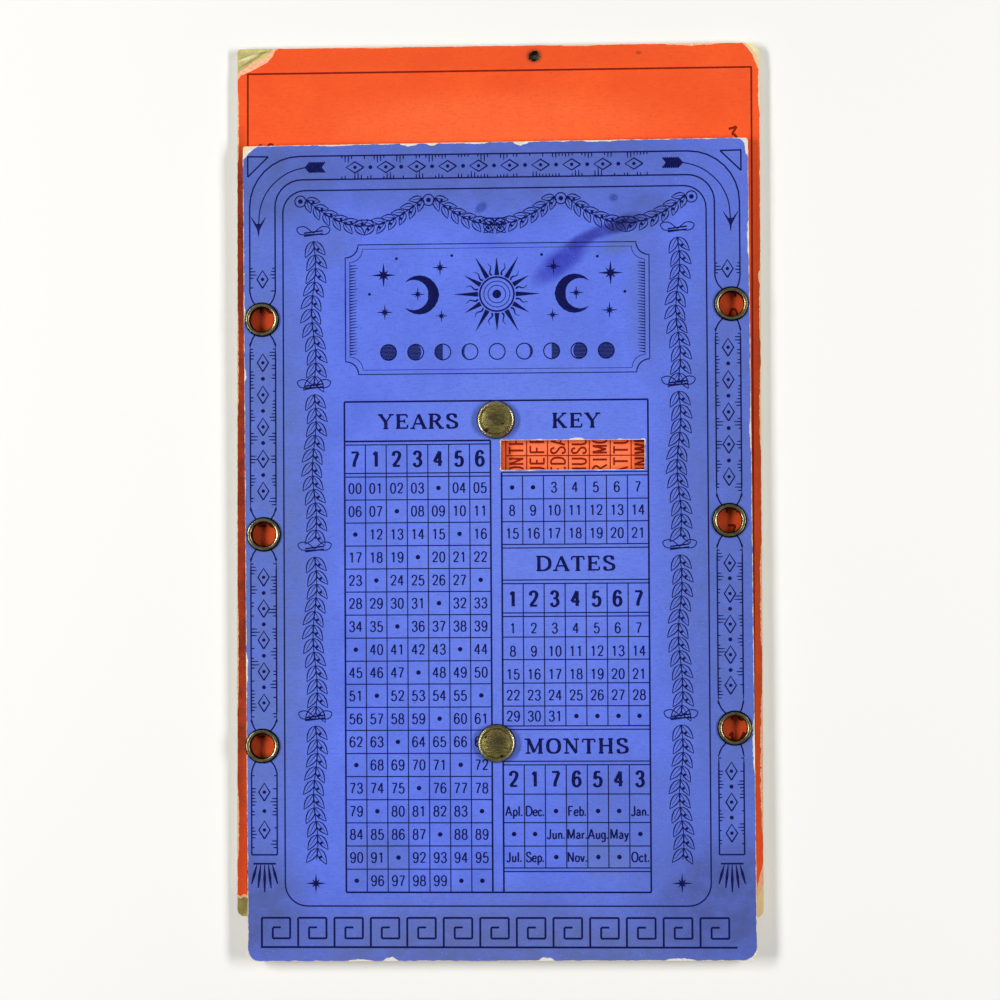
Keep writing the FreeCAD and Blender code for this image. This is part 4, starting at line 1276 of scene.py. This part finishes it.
def aged_brass(name, spot, dark_reflection_spot, dents):
    """A cap's brass, with a painted dark reflection in the middle of its crown. The spots are in millimetres.
    """
    made, tree, shader, coords = new_material(name, 0.4, 0.85, 0.5)
    blotch = surface_noise(tree, coords, 1.3, 5.0, 0.7)
    colour = blended(tree, ranged(tree, blotch, 0.32, 0.68), linear("#9a9052"), linear("#6b6236"))
    warm = surface_noise(tree, coords, 1.9, 3.0)
    colour = blended(tree, ranged(tree, warm, 0.5, 0.66, 0.0, 0.6), colour, linear("#7a5638"))
    streaks = scratches(tree, coords)
    colour = blended(tree, ranged(tree, streaks, 0.5, 0.62, 0.0, 0.7), colour, linear("#46431f"))
    colour = blended(tree, ranged(tree, streaks, 0.44, 0.36, 0.0, 0.6), colour, linear("#a89c60"))
    # Painted reflection: the middle of the crown is darkened.
    dull = product(tree, patch(tree, coords, dark_reflection_spot, (2.6, 2.4), core=0.2),
                   ranged(tree, blotch, 0.35, 0.6, 0.25, 1.0))
    colour = blended(tree, dull, colour, linear("#4c4430"))
    # Each dent is painted near black: painted shade, as the crown's shape has no dents.
    for dent in dents:
        near = patch(tree, coords, (spot[0] + dent[0], spot[1] + dent[1]), (dent[2], dent[3]), dent[4])
        colour = blended(tree, near, colour, linear("#1f1a0d"))
    # The rim is rubbed bright, and its lighter colour also serves as a painted highlight along the rim.
    rim = ring_band(tree, coords, CAP_RADIUS - 0.45, CAP_RADIUS - 0.2, 0.1, 0.1)
    worn = product(tree, rim, ranged(tree, surface_noise(tree, coords, 4.5, 1.0), 0.4, 0.56, 0.1, 1.0))
    colour = blended(tree, worn, colour, linear("#c2bc9e"))
    groove = ring_band(tree, coords, CAP_SHOULDER - 0.06, CAP_SHOULDER + 0.1, 0.12, 0.1)
    shaded = product(tree, groove, ranged(tree, surface_noise(tree, coords, 3.2, 1.0), 0.46, 0.62, 0.0, 0.7))
    colour = blended(tree, shaded, colour, linear("#26240f"))
    # Painted shade: the outermost tenth of a millimetre of the cap, under its edge, is near black.
    under = ring_band(tree, coords, CAP_RADIUS - 0.1, CAP_RADIUS + 1, 0.05, 0.03)
    colour = blended(tree, under, colour, linear("#17160f"))
    pits = ranged(tree, surface_noise(tree, coords, 0.35, 2.0), 0.6, 0.72, 0.0, 0.6)
    tree.links.new(blended(tree, pits, colour, linear("#2a2512")), shader.inputs["Base Color"])
    rubbed = add_node(tree, "Mix", {0: rim, 2: ranged(tree, blotch, 0.3, 0.7, 0.36, 0.56), 3: 0.24})
    tree.links.new(rubbed.outputs[0], shader.inputs["Roughness"])
    rough = add_node(tree, "Math", {0: scratches(tree, coords), 1: surface_noise(tree, coords, 2.6, 2.0)},
                     operation="ADD").outputs[0]
    bump(tree, shader, rough, 0.45, 0.12)
    return made


# Each dent is a place off the cap's middle, a half size and a turn
CAP_DENTS = {"top": ((-1.55, -1.75, 0.7, 0.45, 40), (1.2, -0.7, 0.35, 0.2, 10)),
             "bottom": ((0.9, -2.1, 0.5, 0.3, 20), (-1.8, 1.1, 0.4, 0.25, 60))}
strip_brass, tree, shader, coords = new_material("dull strip brass", 0.45, 0.9, 0.5)
strip_stain = surface_noise(tree, coords, 2.4, 4.0)
tree.links.new(blended(tree, ranged(tree, strip_stain, 0.35, 0.65), linear("#a08a4a"), linear("#6a5a30")),
               shader.inputs["Base Color"])
bump(tree, shader, scratches(tree, coords), 0.3, 0.06)

for end, centre in fasteners.items():
    cap_low, cap_high = levels_of("fastener_" + end + "_cap")
    crown = [(CAP_SHOULDER * step / 6, cap_high - CAP_SHOULDER_DROP * (step / 6) ** 2) for step in range(6)]
    crown += [(CAP_SHOULDER - 0.12, cap_high - CAP_SHOULDER_DROP - 0.01),
              (CAP_SHOULDER, cap_high - CAP_SHOULDER_DROP - 0.05),
              (CAP_SHOULDER + 0.12, cap_high - CAP_SHOULDER_DROP - 0.02),
              (CAP_SHOULDER + 0.24, cap_high - CAP_SHOULDER_DROP - 0.02)]
    shoulder_level = cap_high - CAP_SHOULDER_DROP
    edge_level = cap_low + CAP_EDGE
    flank = []
    flank_start = CAP_SHOULDER + 0.3
    for step in range(1, 9):
        turn = math.radians(90 * (1 - step / 8))
        flank.append((flank_start + (CAP_RADIUS - flank_start) * math.cos(turn),
                      edge_level + (shoulder_level - 0.03 - edge_level) * math.sin(turn)))
    lip = [(CAP_RADIUS - CAP_EDGE + CAP_EDGE * math.cos(math.radians(turn)),
            edge_level + CAP_EDGE * math.sin(math.radians(turn))) for turn in (-30, -60, -90)]
    inside = [(CAP_LIP, cap_low), (CAP_LIP, cap_low + CAP_METAL),
              (CAP_RADIUS - CAP_EDGE, cap_low + CAP_METAL), (CAP_RADIUS - CAP_METAL, edge_level),
              (CAP_SHOULDER, shoulder_level - CAP_METAL), (0.0, cap_high - CAP_METAL)]
    brass = aged_brass("aged brass, " + end + " cap", centre, (centre[0] + 0.3, centre[1] + 0.3),
                       CAP_DENTS[end])
    finish_piece("stamped_cap_" + end, turned(crown + flank + lip + inside, centre), "face_card",
                 "fastener_" + end + "_cap", brass, smooth=True)
    for material_slot in bpy.data.objects["fastener_" + end + "_prongs"].material_slots:
        material_slot.material = strip_brass

# Camera, floor and lights
# The photograph was taken from nearly overhead, a little to the right and towards the bottom edge.
# The floor keeps its shadows near the cards and fades to a plain pale backdrop beyond the lamps' reach.
FLOOR_REACH = 1.2
FADE_START = 0.13
FADE_END = 0.3
floor_mesh = bpy.data.meshes.new("floor")
floor_shape = bmesh.new()
bmesh.ops.create_grid(floor_shape, x_segments=1, y_segments=1, size=FLOOR_REACH)
bmesh.ops.translate(floor_shape, vec=(0, 0, -0.02 * MM), verts=floor_shape.verts)
floor_shape.to_mesh(floor_mesh)
floor_shape.free()
floor = bpy.data.objects.new("floor", floor_mesh)
bpy.context.scene.collection.objects.link(floor)
floor_material, floor_tree, floor_shader, floor_coords = new_material("plain pale floor", roughness=0.9)
floor_shader.inputs["Base Color"].default_value = linear("#f6f5f2")
light_path = add_node(floor_tree, "LightPath").outputs
seen = add_node(floor_tree, "Math", {0: light_path["Is Camera Ray"], 1: light_path["Is Glossy Ray"]},
                operation="MAXIMUM").outputs[0]
from_middle = add_node(floor_tree, "VectorMath", {0: floor_coords}, operation="LENGTH").outputs["Value"]
far_off = product(floor_tree, seen, ranged(floor_tree, from_middle, FADE_START, FADE_END))
pale = add_node(floor_tree, "Emission", {"Color": linear("#faf9f6")}).outputs[0]
faded = add_node(floor_tree, "MixShader", {0: far_off, 1: floor_shader.outputs[0], 2: pale}).outputs[0]
floor_tree.links.new(faded, floor_tree.nodes["Material Output"].inputs["Surface"])
floor_mesh.materials.append(floor_material)

CAMERA_AT = Vector((28.4, -13.4, 493.6)) * MM
CAMERA_AIM = Vector((0.4, 0.24, 3.0)) * MM
CAMERA_ROLL = -0.14
camera_data = bpy.data.cameras.new("camera")
camera_data.lens = 105
camera_data.sensor_width = 36
camera_data.clip_start = 0.01
camera_data.clip_end = 10
camera = bpy.data.objects.new("camera", camera_data)
bpy.context.scene.collection.objects.link(camera)
backward = (CAMERA_AT - CAMERA_AIM).normalized()
rightward = Vector((0, 1, 0)).cross(backward).normalized()
upward = backward.cross(rightward)
camera_turn = Matrix((rightward, upward, backward)).transposed().to_4x4()
camera_turn = camera_turn @ Matrix.Rotation(math.radians(CAMERA_ROLL), 4, "Z")
camera.matrix_world = Matrix.Translation(CAMERA_AT) @ camera_turn
bpy.context.scene.camera = camera


def soft_light(name, place, size, power):
    """A large lamp aimed at the calendar."""
    data = bpy.data.lights.new(name, "AREA")
    data.shape = "RECTANGLE"
    data.size, data.size_y = size
    data.energy = power
    lamp = bpy.data.objects.new(name, data)
    bpy.context.scene.collection.objects.link(lamp)
    at = Vector(place)
    lamp.matrix_world = Matrix.Translation(at) @ at.to_track_quat("Z", "Y").to_matrix().to_4x4()


soft_light("left lamp", (-0.56, 0.06, 0.47), (0.5, 0.14), 4.3)
soft_light("right lamp", (0.62, 0.02, 0.5), (0.5, 0.14), 4.4)
world = bpy.data.worlds.new("studio")
world.use_nodes = True
world.node_tree.nodes["Background"].inputs["Color"].default_value = (1.0, 1.0, 1.0, 1.0)
WORLD_LIGHT = 0.14
backdrop = add_node(world.node_tree, "LightPath").outputs["Is Camera Ray"]
strength = ranged(world.node_tree, backdrop, 0.0, 1.0, WORLD_LIGHT, 1.0)
world.node_tree.links.new(strength, world.node_tree.nodes["Background"].inputs["Strength"])
bpy.context.scene.world = world
bpy.context.scene.view_settings.view_transform = "Standard"
